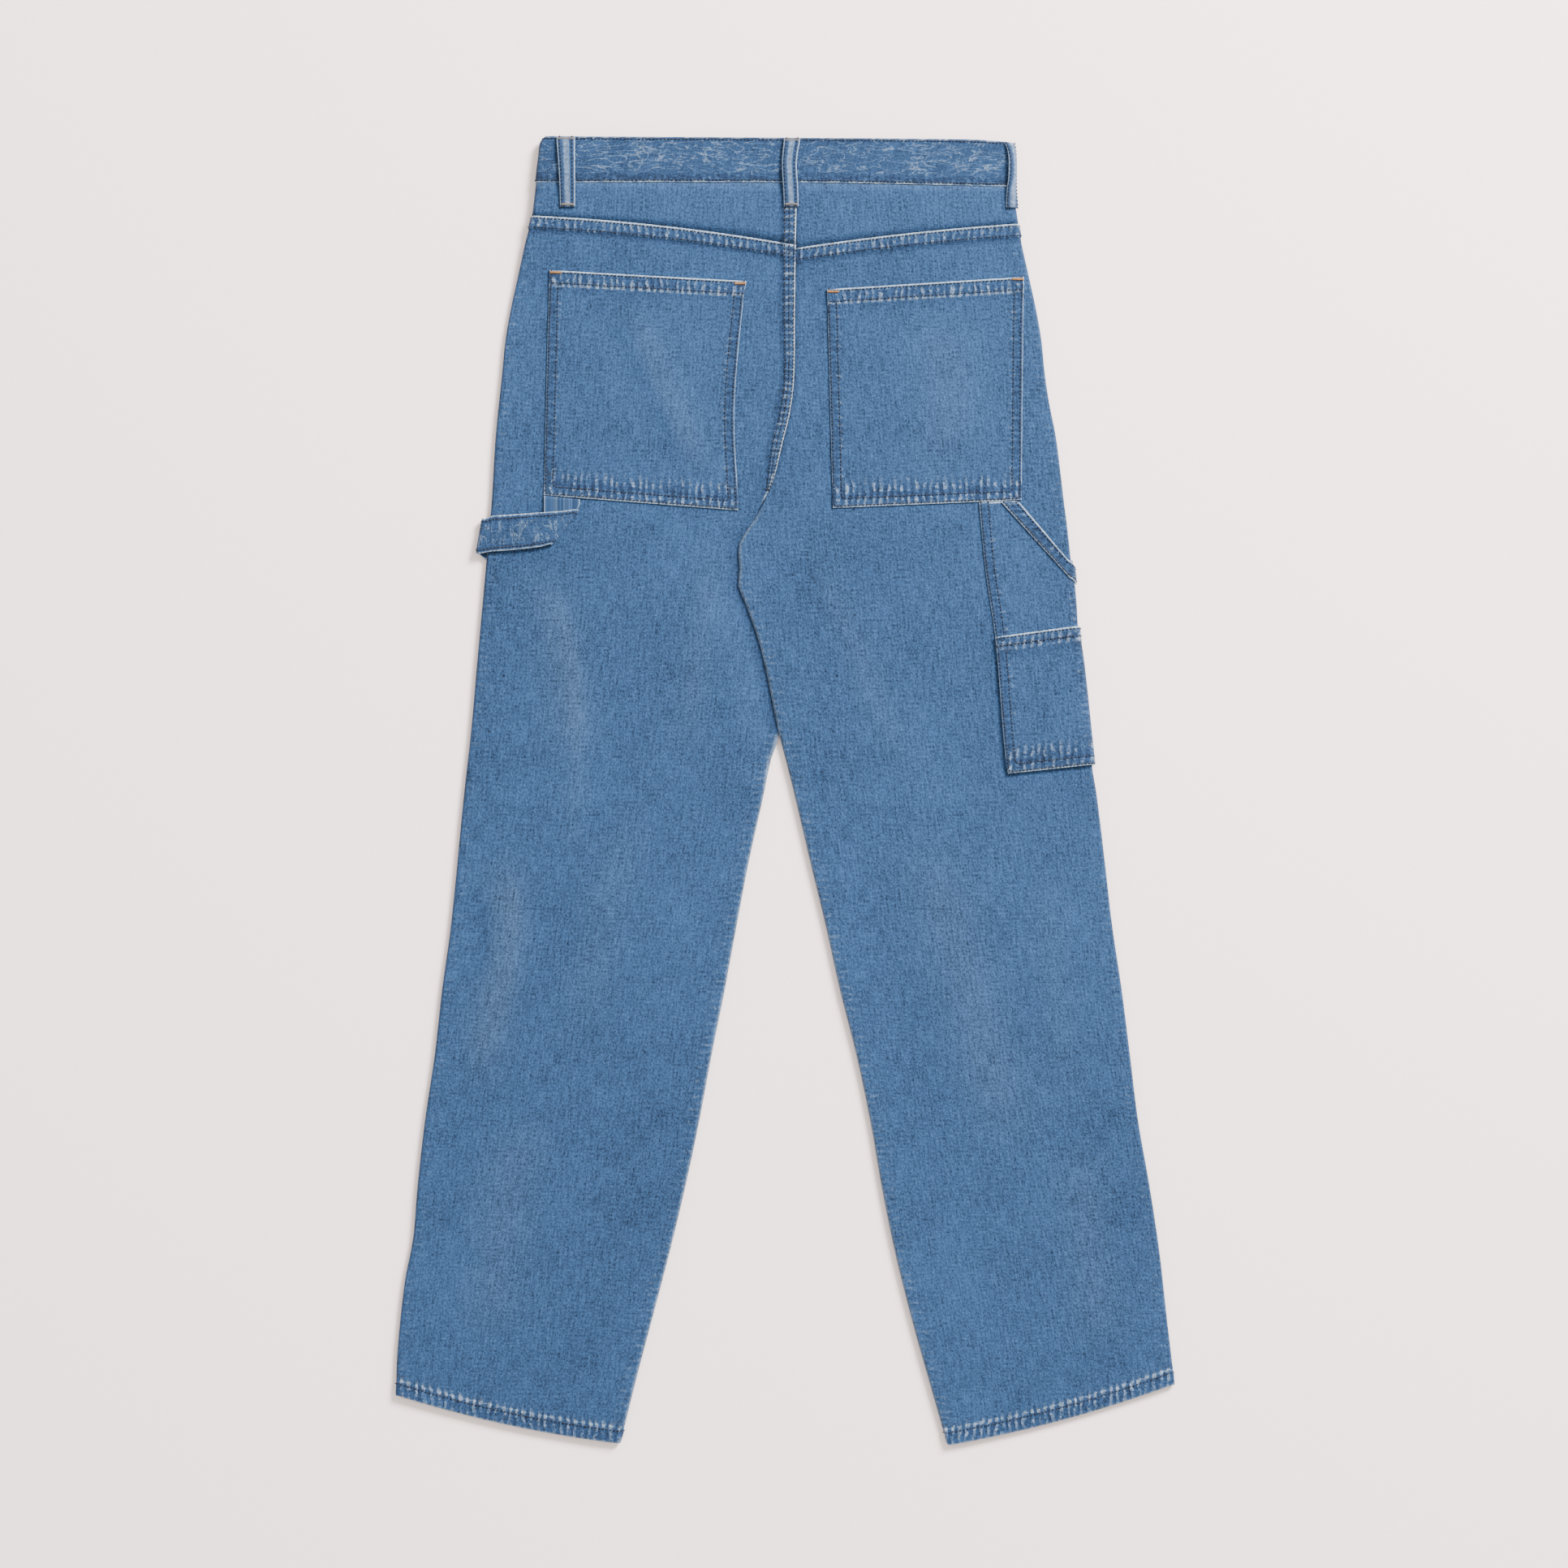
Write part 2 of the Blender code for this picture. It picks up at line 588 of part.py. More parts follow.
def upper_patch_places(grid, first_row, last_row, first_column):
    """Grid of the upper patch, cut by the slanted opening; the cut rows stop before the side's turn."""
    result = []
    opening_end = OPENING_UPPER_EDGE[1][0] + OPENING_INSET
    for number in range(first_row, last_row + 1):
        places = grid[number][first_column:]
        left_reach, left_down = places[0]
        flat_reach, flat_down = places[-1 - TURN_COLUMNS]
        slope = (flat_down - left_down) / (flat_reach - left_reach)
        limit = flat_reach
        for _ in range(OPENING_PASSES):
            limit = opening_limit(left_down + slope * (limit - left_reach))
        if limit > flat_reach - TURN_MARGIN:
            row = [(reach, down if reach < flat_reach else max(down, opening_end)) for reach, down in places]
        else:
            share = (limit - left_reach) / (flat_reach - left_reach)
            row = []
            for reach, _ in places[:-TURN_COLUMNS]:
                cut_reach = blend(left_reach, reach, share)
                row.append((cut_reach, left_down + slope * (cut_reach - left_reach)))
        if number == first_row:
            row = [(reach, down + POCKET_CLEARANCE) for reach, down in row]
        result.append(row)
    return result


def opening_band():
    """Slanted band on the tool pocket's opening, lying on the upper patch."""
    start_out = GAP + WALL + GAP
    outer = []
    inner = []
    for station in OPENING_STATIONS:
        upper = [blend(OPENING_UPPER_EDGE[0][i], OPENING_UPPER_EDGE[1][i], station) for i in (0, 1)]
        lower = [blend(OPENING_LOWER_EDGE[0][i], OPENING_LOWER_EDGE[1][i], station) for i in (0, 1)]
        outer_row = []
        inner_row = []
        for column in range(OPENING_COLUMNS + 1):
            share = column / OPENING_COLUMNS
            down = blend(upper[0], lower[0], share)
            reach = blend(upper[1], lower[1], share)
            outer_row.append(back_point(RIGHT_LEG, reach, down, start_out + WALL))
            inner_row.append(back_point(RIGHT_LEG, reach, down, start_out))
        outer.append(outer_row)
        inner.append(inner_row)
    return slab("tool_pocket_band", outer, inner)


def band_down(across, share, under):
    """Depth of a waistband point; the front half dips towards its centre."""
    down = blend(between(BAND_TOP, across), between(BAND_BOTTOM, across), share)
    if under:
        away = abs(across - BAND_FRONT_CENTRE)
        down += BAND_FRONT_DIP * ease(BAND_HALF - away, 0.0, BAND_HALF)
    return down


def band_stations(left, right):
    """Stations round the waist: part, place on it, in order from the left end to the right end."""
    stations = []
    left_flat = left + BAND_BEND
    right_flat = right - BAND_BEND
    for step in range(BAND_UNDER_STEPS):
        stations.append(("under", blend(BAND_LEFT_END, left_flat, step / BAND_UNDER_STEPS)))
    for step in range(BAND_TURN_STEPS + 1):
        stations.append(("left turn", math.pi * step / BAND_TURN_STEPS))
    for step in range(1, BAND_BACK_STEPS):
        stations.append(("back", blend(left_flat, right_flat, step / BAND_BACK_STEPS)))
    for step in range(BAND_TURN_STEPS + 1):
        stations.append(("right turn", math.pi * step / BAND_TURN_STEPS))
    for across in BAND_OVER_PLACES:
        stations.append(("over", across))
    return stations


def band_point(part, place, share, left, right, out):
    """Point of the waistband on one of its parts."""
    low = BAND_MIDDLE - BAND_BEND
    if part == "under":
        return (place, band_down(place, share, True), low - out)
    if part == "over":
        start, end = BAND_OVERLAP_RAMP
        lifted = (BAND_WALL + GAP) * (1.0 - ease(place, start, end))
        return (place, band_down(place, share, True), low + lifted - out)
    if part == "back":
        return (place, band_down(place, share, False), BAND_MIDDLE + BAND_BEND + out)
    radius = BAND_BEND + out
    if part == "left turn":
        across = left + BAND_BEND - radius * math.sin(place)
        height = BAND_MIDDLE - radius * math.cos(place)
        return (across, band_down(left, share, False), height)
    across = right - BAND_BEND + radius * math.sin(place)
    height = BAND_MIDDLE + radius * math.cos(place)
    return (across, band_down(right, share, False), height)


def waistband():
    """Waistband as one strip round the waist, its ends overlapping at the centre front."""
    outer = []
    inner = []
    for share, left, right in BAND_ROWS:
        stations = band_stations(left, right)
        outer.append([band_point(part, place, share, left, right, 0.0) for part, place in stations])
        inner.append([band_point(part, place, share, left, right, -BAND_WALL) for part, place in stations])
    return slab("waistband", outer, inner)


def back_loop(name, table, seam):
    """Belt loop lying on the back of the waistband and on the yoke."""
    band_top = BAND_MIDDLE + BAND_BEND
    yoke_top = WAIST_LIFT + TUBE_HEIGHT + WAIST_EXTRA + seam
    outer = []
    inner = []
    for down, left, right, arch in table:
        base = blend(max(band_top, yoke_top), yoke_top, ease(down, *LOOP_STEPS_DOWN)) + GAP + arch
        outer_row = []
        inner_row = []
        for column in range(LOOP_COLUMNS + 1):
            across = blend(left, right, column / LOOP_COLUMNS)
            inner_row.append((across, down, base))
            outer_row.append((across, down, base + LOOP_WALL))
        outer.append(outer_row)
        inner.append(inner_row)
    return slab(name, outer, inner)


def side_loop():
    """Belt loop that turns round the right side of the waist."""
    outer = []
    inner = []
    for down, centre, radius, flat, end_angle in BACK_RIGHT_LOOP:
        outer_row = []
        inner_row = []
        for row, out in ((inner_row, 0.0), (outer_row, LOOP_WALL)):
            row.append((centre - flat, down, BAND_MIDDLE + radius + out))
            for step in range(LOOP_BEND_STEPS + 1):
                angle = math.radians(end_angle) * step / LOOP_BEND_STEPS
                across = centre + (radius + out) * math.sin(angle)
                row.append((across, down, BAND_MIDDLE + (radius + out) * math.cos(angle)))
        outer.append(outer_row)
        inner.append(inner_row)
    return slab("belt_loop_back_right", outer, inner)


def front_loop(name, across):
    """Belt loop under the front of the waistband."""
    top = BAND_MIDDLE - BAND_BEND - GAP
    outer = []
    inner = []
    for down, arch in FRONT_LOOP:
        outer_row = []
        inner_row = []
        for column in range(LOOP_COLUMNS + 1):
            place = across + FRONT_LOOP_WIDTH * (column / LOOP_COLUMNS - 0.5)
            inner_row.append((place, down, top - arch))
            outer_row.append((place, down, top - arch - LOOP_WALL))
        outer.append(outer_row)
        inner.append(inner_row)
    return slab(name, outer, inner)


def button():
    """Waist button as a disc with its face on the floor side."""
    rings = (
        (BUTTON_RADIUS - BUTTON_CHAMFER, 0.0),
        (BUTTON_RADIUS, BUTTON_CHAMFER),
        (BUTTON_RADIUS, BUTTON_HEIGHT),
    )
    points = []
    for radius, height in rings:
        for side in range(BUTTON_SIDES):
            angle = 2.0 * math.pi * side / BUTTON_SIDES
            points.append((
                BUTTON_ACROSS + radius * math.cos(angle),
                BUTTON_DOWN + radius * math.sin(angle),
                height,
            ))
    faces = [tuple(range(BUTTON_SIDES))]
    faces.append(tuple(range(3 * BUTTON_SIDES - 1, 2 * BUTTON_SIDES - 1, -1)))
    for ring in range(2):
        for side in range(BUTTON_SIDES):
            start = ring * BUTTON_SIDES + side
            end = ring * BUTTON_SIDES + (side + 1) % BUTTON_SIDES
            faces.append((end, start, start + BUTTON_SIDES, end + BUTTON_SIDES))
    return ("button", points, faces)


def strap_surface(across, down):
    """Height of the left back's outer face, also past its side seam."""
    reach = min(-across, between(LEFT_SIDE, down) - side_bend(down))
    return back_height(LEFT_LEG, reach, down)


def fold_rows(edge, low, radius, towards_low):
    """Rows round a fold's bend; edge is the fold's outermost line and low its lower layer's height."""
    upper_across, upper_down, lower_across, lower_down = edge
    along = (lower_across - upper_across, lower_down - upper_down)
    length = math.hypot(*along)
    normal = (along[1] / length, -along[0] / length)
    if towards_low:
        normal = (-normal[0], -normal[1])
    rows = []
    reach_out = radius + STRAP_WALL / 2.0
    for step in range(FOLD_STEPS + 1):
        angle = math.pi * step / FOLD_STEPS - math.pi / 2.0
        if towards_low:
            angle = -angle
        shift = radius * math.cos(angle) - reach_out
        height = low + radius + radius * math.sin(angle)
        direction = (normal[0] * math.cos(angle), normal[1] * math.cos(angle), math.sin(angle))
        rows.append((
            (upper_across + normal[0] * shift, upper_down + normal[1] * shift, height),
            (lower_across + normal[0] * shift, lower_down + normal[1] * shift, height),
            direction,
        ))
    return rows


def strap_rows():
    """Rows of the hammer loop: both edges of its middle surface and the way its outer face looks."""
    rows = []
    for upper_across, upper_down, lower_across, lower_down, lift in STRAP_UNDER:
        upper = (upper_across, upper_down, strap_surface(upper_across, upper_down) + lift)
        lower = (lower_across, lower_down, strap_surface(lower_across, lower_down) + lift)
        rows.append((upper, lower, (0.0, 0.0, -1.0)))
    fold_height_low = strap_surface(FIRST_FOLD[0], FIRST_FOLD[1]) + STRAP_UNDER[-1][4]
    rows += fold_rows(FIRST_FOLD, fold_height_low, FIRST_BEND, False)
    for upper_across, upper_down, lower_across, lower_down, lift in STRAP_OVER:
        upper = (upper_across, upper_down, strap_surface(upper_across, upper_down) + lift)
        lower = (lower_across, lower_down, strap_surface(lower_across, lower_down) + lift)
        rows.append((upper, lower, (0.0, 0.0, 1.0)))
    rows += fold_rows(SECOND_FOLD, RETURN_HEIGHT, SECOND_BEND, True)
    ends = []
    for place in rows[-1][:2]:
        down = place[1] + STRAP_RETURN_DOWN
        ends.append((-between(LEFT_SIDE, down) - GAP, down, RETURN_HEIGHT))
    rows.append((ends[0], ends[1], (0.0, 0.0, -1.0)))
    return rows


def hammer_loop():
    """Hammer loop: from the pocket's bottom, folded over, across the leg and back to the side seam."""
    outer = []
    inner = []
    for upper, lower, direction in strap_rows():
        outer_row = []
        inner_row = []
        for column in range(STRAP_COLUMNS + 1):
            share = column / STRAP_COLUMNS
            middle = [blend(upper[i], lower[i], share) for i in range(3)]
            outer_row.append(tuple(middle[i] + direction[i] * STRAP_WALL / 2.0 for i in range(3)))
            inner_row.append(tuple(middle[i] - direction[i] * STRAP_WALL / 2.0 for i in range(3)))
        outer.append(outer_row)
        inner.append(inner_row)
    return slab("hammer_loop", outer, inner)


def enclosed_volume(points, faces):
    """Six times the volume that the faces enclose; below 0 if they look inward."""
    total = 0.0
    for face in faces:
        ax, ay, az = points[face[0]]
        for second, third in zip(face[1:], face[2:]):
            bx, by, bz = points[second]
            cx, cy, cz = points[third]
            total += ax * (by * cz - bz * cy) + ay * (bz * cx - bx * cz) + az * (bx * cy - by * cx)
    return total


def make_body(name, points, faces):
    """Add one body to the scene, in metres, with its faces looking outward."""
    placed = [
        (
            (across - ORIGIN_ACROSS) * MILLIMETRE,
            (ORIGIN_DOWN - down) * MILLIMETRE,
            height * MILLIMETRE,
        )
        for across, down, height in points
    ]
    if enclosed_volume(placed, faces) < 0.0:
        faces = [tuple(reversed(face)) for face in faces]
    mesh = bpy.data.meshes.new(name)
    mesh.from_pydata(placed, [], faces)
    mesh.update()
    body = bpy.data.objects.new(name, mesh)
    bpy.context.scene.collection.objects.link(body)


def left_side_bodies():
    """Yoke, back, front and pocket of the left leg."""
    fills = (1, 1, 7, 2)
    guides = (LEFT_FORK_GUIDE, LEFT_POCKET_INNER, LEFT_POCKET_OUTER)
    yoke, _, _ = panel("yoke_left", LEFT_LEG, LEFT_YOKE_ROWS, (), (7,))
    back, _, grid = panel("back_left", LEFT_LEG, LEFT_BACK_ROWS, guides, fills)
    front, _, _ = panel("front_left", LEFT_LEG, LEFT_FRONT_ROWS, (), (7,), back=False)
    pocket = patch_pocket(
        "back_pocket_left", LEFT_LEG, grid,
        first_row=3, hem_rows=2, last_row=12, first_column=5, last_column=12,
    )
    return [yoke, back, front, pocket]


def right_side_bodies():
    """Yoke, back, front and pockets of the right leg."""
    fills = (1, 5, 2, 2)
    guides = (RIGHT_POCKET_INNER, TOOL_POCKET_INNER, RIGHT_POCKET_OUTER)
    yoke, _, _ = panel("yoke_right", RIGHT_LEG, RIGHT_YOKE_ROWS, (), (7,))
    back, _, grid = panel("back_right", RIGHT_LEG, RIGHT_BACK_ROWS, guides, fills)
    front, _, _ = panel("front_right", RIGHT_LEG, RIGHT_FRONT_ROWS, (), (7,), back=False)
    pocket = patch_pocket(
        "back_pocket_right", RIGHT_LEG, grid,
        first_row=3, hem_rows=2, last_row=12, first_column=4, last_column=11,
    )
    pocket_bottom = 12
    tool_top = 20
    tool_bottom = 27
    tool_column = 9
    upper_places = upper_patch_places(grid, pocket_bottom, tool_bottom, tool_column)
    lower_places = [places[tool_column:] for places in grid[tool_top:tool_bottom + 1]]
    upper = tool_patch("tool_pocket_upper", upper_places, GAP, 0)
    lower = tool_patch("tool_pocket_lower", lower_places, GAP + WALL + GAP, 2)
    return [yoke, back, front, pocket, upper, lower]


def waist_bodies():
    """Waistband, belt loops and button."""
    return [
        waistband(),
        back_loop("belt_loop_back_left", BACK_LEFT_LOOP, 0.0),
        back_loop("belt_loop_centre", CENTRE_LOOP, SEAM_RAISE),
        side_loop(),
        front_loop("belt_loop_front_left", FRONT_LOOP_LEFT),
        front_loop("belt_loop_front_right", FRONT_LOOP_RIGHT),
        button(),
    ]


def main():
    for leftover in list(bpy.data.objects):
        bpy.data.objects.remove(leftover)
    bodies = left_side_bodies() + right_side_bodies() + waist_bodies()
    bodies += [opening_band(), hammer_loop()]
    for name, points, faces in bodies:
        make_body(name, points, faces)


main()
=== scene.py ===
"""Carpenter pants laid flat with the back side up: cloth shells, stitching, finishes and studio."""

import math

import bpy
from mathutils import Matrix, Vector


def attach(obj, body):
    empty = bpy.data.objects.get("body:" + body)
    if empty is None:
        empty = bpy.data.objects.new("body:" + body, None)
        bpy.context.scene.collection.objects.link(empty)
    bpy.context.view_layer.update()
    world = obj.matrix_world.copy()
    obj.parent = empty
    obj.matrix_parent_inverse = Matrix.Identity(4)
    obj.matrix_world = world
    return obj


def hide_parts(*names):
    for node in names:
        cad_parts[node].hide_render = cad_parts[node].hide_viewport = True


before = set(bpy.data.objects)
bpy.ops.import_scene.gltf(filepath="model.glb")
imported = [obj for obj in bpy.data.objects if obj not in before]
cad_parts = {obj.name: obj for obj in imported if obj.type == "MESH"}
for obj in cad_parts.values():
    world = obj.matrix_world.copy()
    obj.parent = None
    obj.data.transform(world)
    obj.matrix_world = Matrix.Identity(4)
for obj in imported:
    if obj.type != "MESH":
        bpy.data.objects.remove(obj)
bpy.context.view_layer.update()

bl_info = {
    "name": "Carpenter Pants",
    "version": (1, 0, 0),
    "blender": (4, 5, 0),
    "location": "3D View > Sidebar > Pants",
    "description": "Builds denim carpenter pants lying flat, with their stitching and a plain studio",
    "category": "Object",
}

MILLIMETRE = 0.001
PHOTO_PIXELS = 1932
MILLIMETRES_PER_PIXEL = 0.67

# Millimetres: across grows to the right, down to the hems, reach from the middle to a side seam
ORIGIN_DOWN = 539.35
GAP = 0.3
SHELL = 1.0
SEAM_RAISE = 0.8
POCKET_OUT = 1.5
POCKET_HEM_RAISE = 0.5
TUBE_HEIGHT = 5.5
WAIST_EXTRA = 0.5
WAIST_LIFT = 3.0
LIFT_FROM = 60.0
LIFT_TO = 140.0
MID_SAG = 0.6
SAG_WIDTH = 60.0
PRESSED_HEIGHT = 2.7
PRESS_FROM = 270.0
PRESS_FULL = 314.0
PRESS_MARGIN = 4.0
PRESS_WIDTH = 35.0
LEGS_PART = 493.0
QUARTER = math.radians(90.0)
SAG_SETS_IN = (100.0, 180.0)
SAG_LEAVES_FORK = (280.0, 315.0)
RIGHT_BACK_TURN = (288.0, 325.0)
RIGHT_FRONT_TURN = (400.0, 480.0)
INSEAM_TURN = (LEGS_PART, 545.0)
FORK_BEND = 2.4
# Where the seat seam's strip and look end at the fork
SEAT_RISE_ENDS = (270.0, 294.0)
SEAT_LOOK_ENDS = (262.0, 298.0)
FORK_DOWN = 300.0

# Side seams (down, reach)
LEFT_SIDE = (
    (39.0, 205.4), (66.0, 208.7), (87.0, 214.1), (114.0, 220.1), (141.0, 226.1), (168.0, 230.8),
    (195.0, 233.5), (248.0, 238.9), (302.0, 242.2), (355.0, 246.9), (436.0, 254.3), (489.0, 259.0),
    (543.0, 265.0), (650.0, 275.7), (704.0, 283.1), (757.0, 289.1), (811.0, 297.1), (865.0, 303.2),
    (907.0, 306.6), (918.0, 308.6), (945.0, 313.9), (999.0, 319.6), (1038.0, 321.3),
)
RIGHT_SIDE = (
    (41.0, 187.3), (62.0, 190.6), (87.0, 194.6), (114.0, 200.7), (141.0, 206.7), (168.0, 211.4),
    (195.0, 214.1), (221.0, 218.1), (248.0, 223.4), (302.0, 230.1), (329.0, 233.5), (382.0, 238.7),
    (409.0, 240.5), (436.0, 244.2), (489.0, 249.9), (516.0, 252.6), (543.0, 257.0), (597.0, 263.6),
    (650.0, 269.7), (704.0, 277.7), (757.0, 284.4), (811.0, 291.1), (865.0, 300.5), (918.0, 308.5),
    (972.0, 314.6), (1029.0, 321.3),
)
# Seat seam, fork and inseam of the right back (down, across)
RIGHT_BACK_EDGE = (
    (39.0, 10.1), (92.0, 9.0), (152.0, 8.4), (199.0, 7.7), (227.0, 4.4), (252.0, -1.7), (283.0, -9.4),
    (294.5, -14.4), (314.0, -24.5), (329.0, -34.5), (338.0, -38.5), (360.0, -37.5), (366.0, -39.2),
    (373.0, -37.9), (382.0, -33.8), (422.0, -20.1), (493.0, -5.0), (516.0, 1.0), (543.0, 7.7),
    (597.0, 20.4), (650.0, 33.2), (704.0, 45.2), (757.0, 58.6), (811.0, 70.0), (865.0, 79.4),
    (918.0, 90.1), (972.0, 103.5), (1025.0, 118.3), (1078.4, 133.7),
)
# Left back's edge under the right leg, then its inseam (down, across)
LEFT_BACK_EDGE = (
    (314.0, -24.8), (332.0, -17.0), (352.0, -9.0), (380.0, -5.0), (440.0, -4.3), (493.0, -5.3),
    (516.0, -12.4), (543.0, -17.8), (597.0, -29.8), (650.0, -39.9), (704.0, -49.9), (757.0, -60.6),
    (811.0, -70.7), (865.0, -82.1), (918.0, -94.8), (972.0, -108.9), (1025.0, -122.9), (1077.0, -135.7),
)
# Where the fronts meet (down, across)
FRONT_MIDDLE = ((53.0, 4.0), (300.0, -3.4), (440.0, -4.3), (493.0, -5.3))
# Middle line of a leg, along which the warp runs (down, reach)
LEG_MIDDLE = ((39.0, 105.0), (300.0, 125.0), (560.0, 150.0), (1078.0, 228.0))
# Width of the seat seam's strip (down, width)
SEAT_STRIP = (
    (39.0, 11.1), (152.0, 9.6), (199.0, 8.4), (252.0, 8.7), (283.0, 5.0), (294.0, 2.5), (330.0, 2.5),
)

# Folds: (down, reach) path, height, half width, fade at each end
LEFT_FOLDS = (
    (((349.0, 204.7), (396.0, 190.6), (449.0, 180.6), (523.0, 175.2)), 0.9, 16.0, 45.0),
    (((583.0, 232.8), (657.0, 231.5), (737.0, 246.2), (791.0, 252.9)), 1.2, 15.0, 50.0),
    (((617.0, 257.0), (670.0, 256.0), (704.0, 258.0)), -0.8, 12.0, 30.0),
    (((135.0, 153.8), (217.0, 120.9), (286.0, 90.8)), -0.8, 14.0, 40.0),
    (((135.0, 128.0), (217.0, 95.0), (286.0, 65.0)), 0.8, 14.0, 40.0),
    (((800.0, 215.0), (900.0, 235.0), (1000.0, 245.0)), 0.7, 22.0, 50.0),
    (((360.0, 196.0), (420.0, 178.0), (500.0, 172.0), (600.0, 178.0)), 0.5, 7.0, 60.0),
    (((590.0, 226.0), (680.0, 224.0), (760.0, 240.0)), 0.4, 6.0, 40.0),
    (((330.0, 60.0), (420.0, 72.0), (520.0, 84.0)), 0.5, 12.0, 60.0),
    (((540.0, 120.0), (640.0, 150.0), (760.0, 170.0)), 0.4, 16.0, 70.0),
    (((880.0, 290.0), (915.0, 270.0), (940.0, 240.0)), -0.5, 9.0, 22.0),
)
RIGHT_FOLDS = (
    (((560.0, 110.0), (700.0, 150.0), (850.0, 190.0)), 0.8, 24.0, 80.0),
    (((140.0, 120.0), (210.0, 135.0), (285.0, 120.0)), 0.6, 22.0, 45.0),
    (((820.0, 240.0), (920.0, 250.0), (1010.0, 262.0)), 0.6, 18.0, 50.0),
    (((330.0, 20.0), (430.0, 60.0), (540.0, 105.0)), 0.5, 12.0, 60.0),
    (((350.0, 80.0), (450.0, 110.0), (560.0, 130.0)), -0.4, 14.0, 60.0),
    (((600.0, 210.0), (720.0, 225.0), (800.0, 232.0)), 0.35, 12.0, 60.0),
    (((760.0, 110.0), (860.0, 125.0), (960.0, 150.0)), -0.35, 14.0, 60.0),
)
# The hidden fronts have soft creases of the same kind
FRONT_FOLDS = (
    (((340.0, 190.0), (450.0, 178.0), (560.0, 180.0)), 0.35, 14.0, 60.0),
    (((600.0, 200.0), (720.0, 215.0), (840.0, 230.0)), 0.35, 16.0, 70.0),
)

# Ends of the panels' rows (side down, inner down, bow)
LEFT_SEAM = (66.0, 90.0, -3.5)
RIGHT_SEAM = (72.7, 92.5, -2.0)
LEFT_HEM = (1038.0, 1077.0, 4.5)
RIGHT_HEM = (1029.0, 1078.4, 4.5)
LEFT_POCKET_TOP = (109.4, 121.8, 0.0)
LEFT_POCKET_BOTTOM = (290.7, 308.8, 2.6)
RIGHT_POCKET_TOP = (116.0, 127.9, 0.0)
RIGHT_POCKET_BOTTOM = (298.3, 308.8, 0.0)
TOOL_TOP = (403.9, 438.0, 0.0)
TOOL_BOTTOM = (518.0, 544.0, 0.0)
SEAM_STRIP = 10.8
HEM_DEPTH = 11.0
POCKET_HEM = 11.7

# Share by which one millimetre of fold height lightens the cloth: painted light on fold ridges, painted shade
# in fold troughs
FOLD_PAINTED_SHADING = 0.03

# Pocket sides (down, reach)
LEFT_POCKET_INNER = ((66.0, 30.0), (119.6, 32.1), (131.0, 34.2), (224.0, 41.9), (305.0, 38.9), (338.0, 39.0))
LEFT_POCKET_OUTER = ((66.0, 190.0), (111.0, 194.0), (294.0, 199.0), (338.0, 201.0))
RIGHT_POCKET_INNER = ((92.0, 33.0), (126.3, 34.5), (306.5, 39.2), (338.0, 40.0))
RIGHT_POCKET_OUTER = ((73.0, 198.4), (116.0, 196.6), (300.0, 194.6), (338.0, 194.4))
TOOL_POCKET_INNER = (
    (290.0, 159.0), (300.0, 159.6), (357.0, 165.0), (413.7, 173.2), (515.6, 181.9), (540.0, 187.0),
)
OPENING_UPPER_EDGE = ((301.4, 192.6), (354.5, 237.7))
OPENING_LOWER_EDGE = ((301.4, 177.8), (369.1, 239.0))

# Wall of a patch, its height on the tool pocket, and its stitch lines' places from the edge
PATCH_WALL = 1.2
TOOL_OUT = 3.0
TOOL_HEM = 9.0
OPENING_STEPS = 56
OPENING_LENGTH = 68.0
STITCH_INSETS = (1.6, 7.6)
STITCH_OUT = 0.25
THIN_STITCH_OUT = 0.2

# Columns of the shells: places round a turned edge, near an edge, and along the flat part
TURN_PLACES = (0.17, 0.33, 0.5, 0.67, 0.83, 1.0)
FRONT_TURN_PLACES = (0.25, 0.5, 0.75, 1.0)
STRIP_PLACES = (0.0, 0.08, 0.25, 0.5, 0.75, 0.92, 1.0)
EDGE_PLACES = (0.0, 0.5, 1.3, 3.0)
PANEL_SPAN = 240.0
PLAIN_COLUMNS = 30
GUIDE_PASSES = 4
OPENING_PASSES = 6

# Rows near a back panel's yoke seam and hem, and stops between them (side down, inner down, bow)
SEAM_PLACES = (0.0, 0.5, 1.2, 3.0, 5.4, 8.0, 10.2, 10.8, 11.4, 13.0)
SEAM_ROWS_END = 15.5
HEM_PLACES = (22.0, 18.0, 15.0, 13.0, 11.8, 11.0, 10.2, 8.0, 5.0, 2.5, 1.2, 0.5, 0.0)
LEFT_BACK_STOPS = (
    LEFT_POCKET_TOP, LEFT_POCKET_BOTTOM, (336.0, 352.0, 0.0), (474.0, 488.0, 0.0), (550.0, 566.0, 0.0),
    (700.0, 722.0, 1.0),
)
RIGHT_BACK_STOPS = (RIGHT_POCKET_TOP, RIGHT_POCKET_BOTTOM, (403.9, 438.0, 0.0), (518.0, 544.0, 0.0))
FRONT_STOPS = ((474.0, 488.0, 0.0), (550.0, 566.0, 0.0))
LEFT_FRONT_TOP = (38.8, 53.3, 0.0)
RIGHT_FRONT_TOP = (42.2, 53.3, 0.0)
LEFT_YOKE_TOP = (38.8, 38.8, 0.0)
RIGHT_YOKE_TOP = (42.2, 38.8, 0.0)
YOKE_ROW_STEP = 4.0
FRONT_ROW_STEP = 12.0

# Waistband
BAND_WALL = 2.0
BAND_BEND = 3.4
BAND_MIDDLE = 6.0
BAND_FRONT_DIP = 12.0
BAND_FRONT_CENTRE = 4.0
BAND_HALF = 190.0
BAND_LEFT_END = 24.0
BAND_RIGHT_END = -18.0
BAND_OVERLAP_RAMP = (26.0, 44.0)
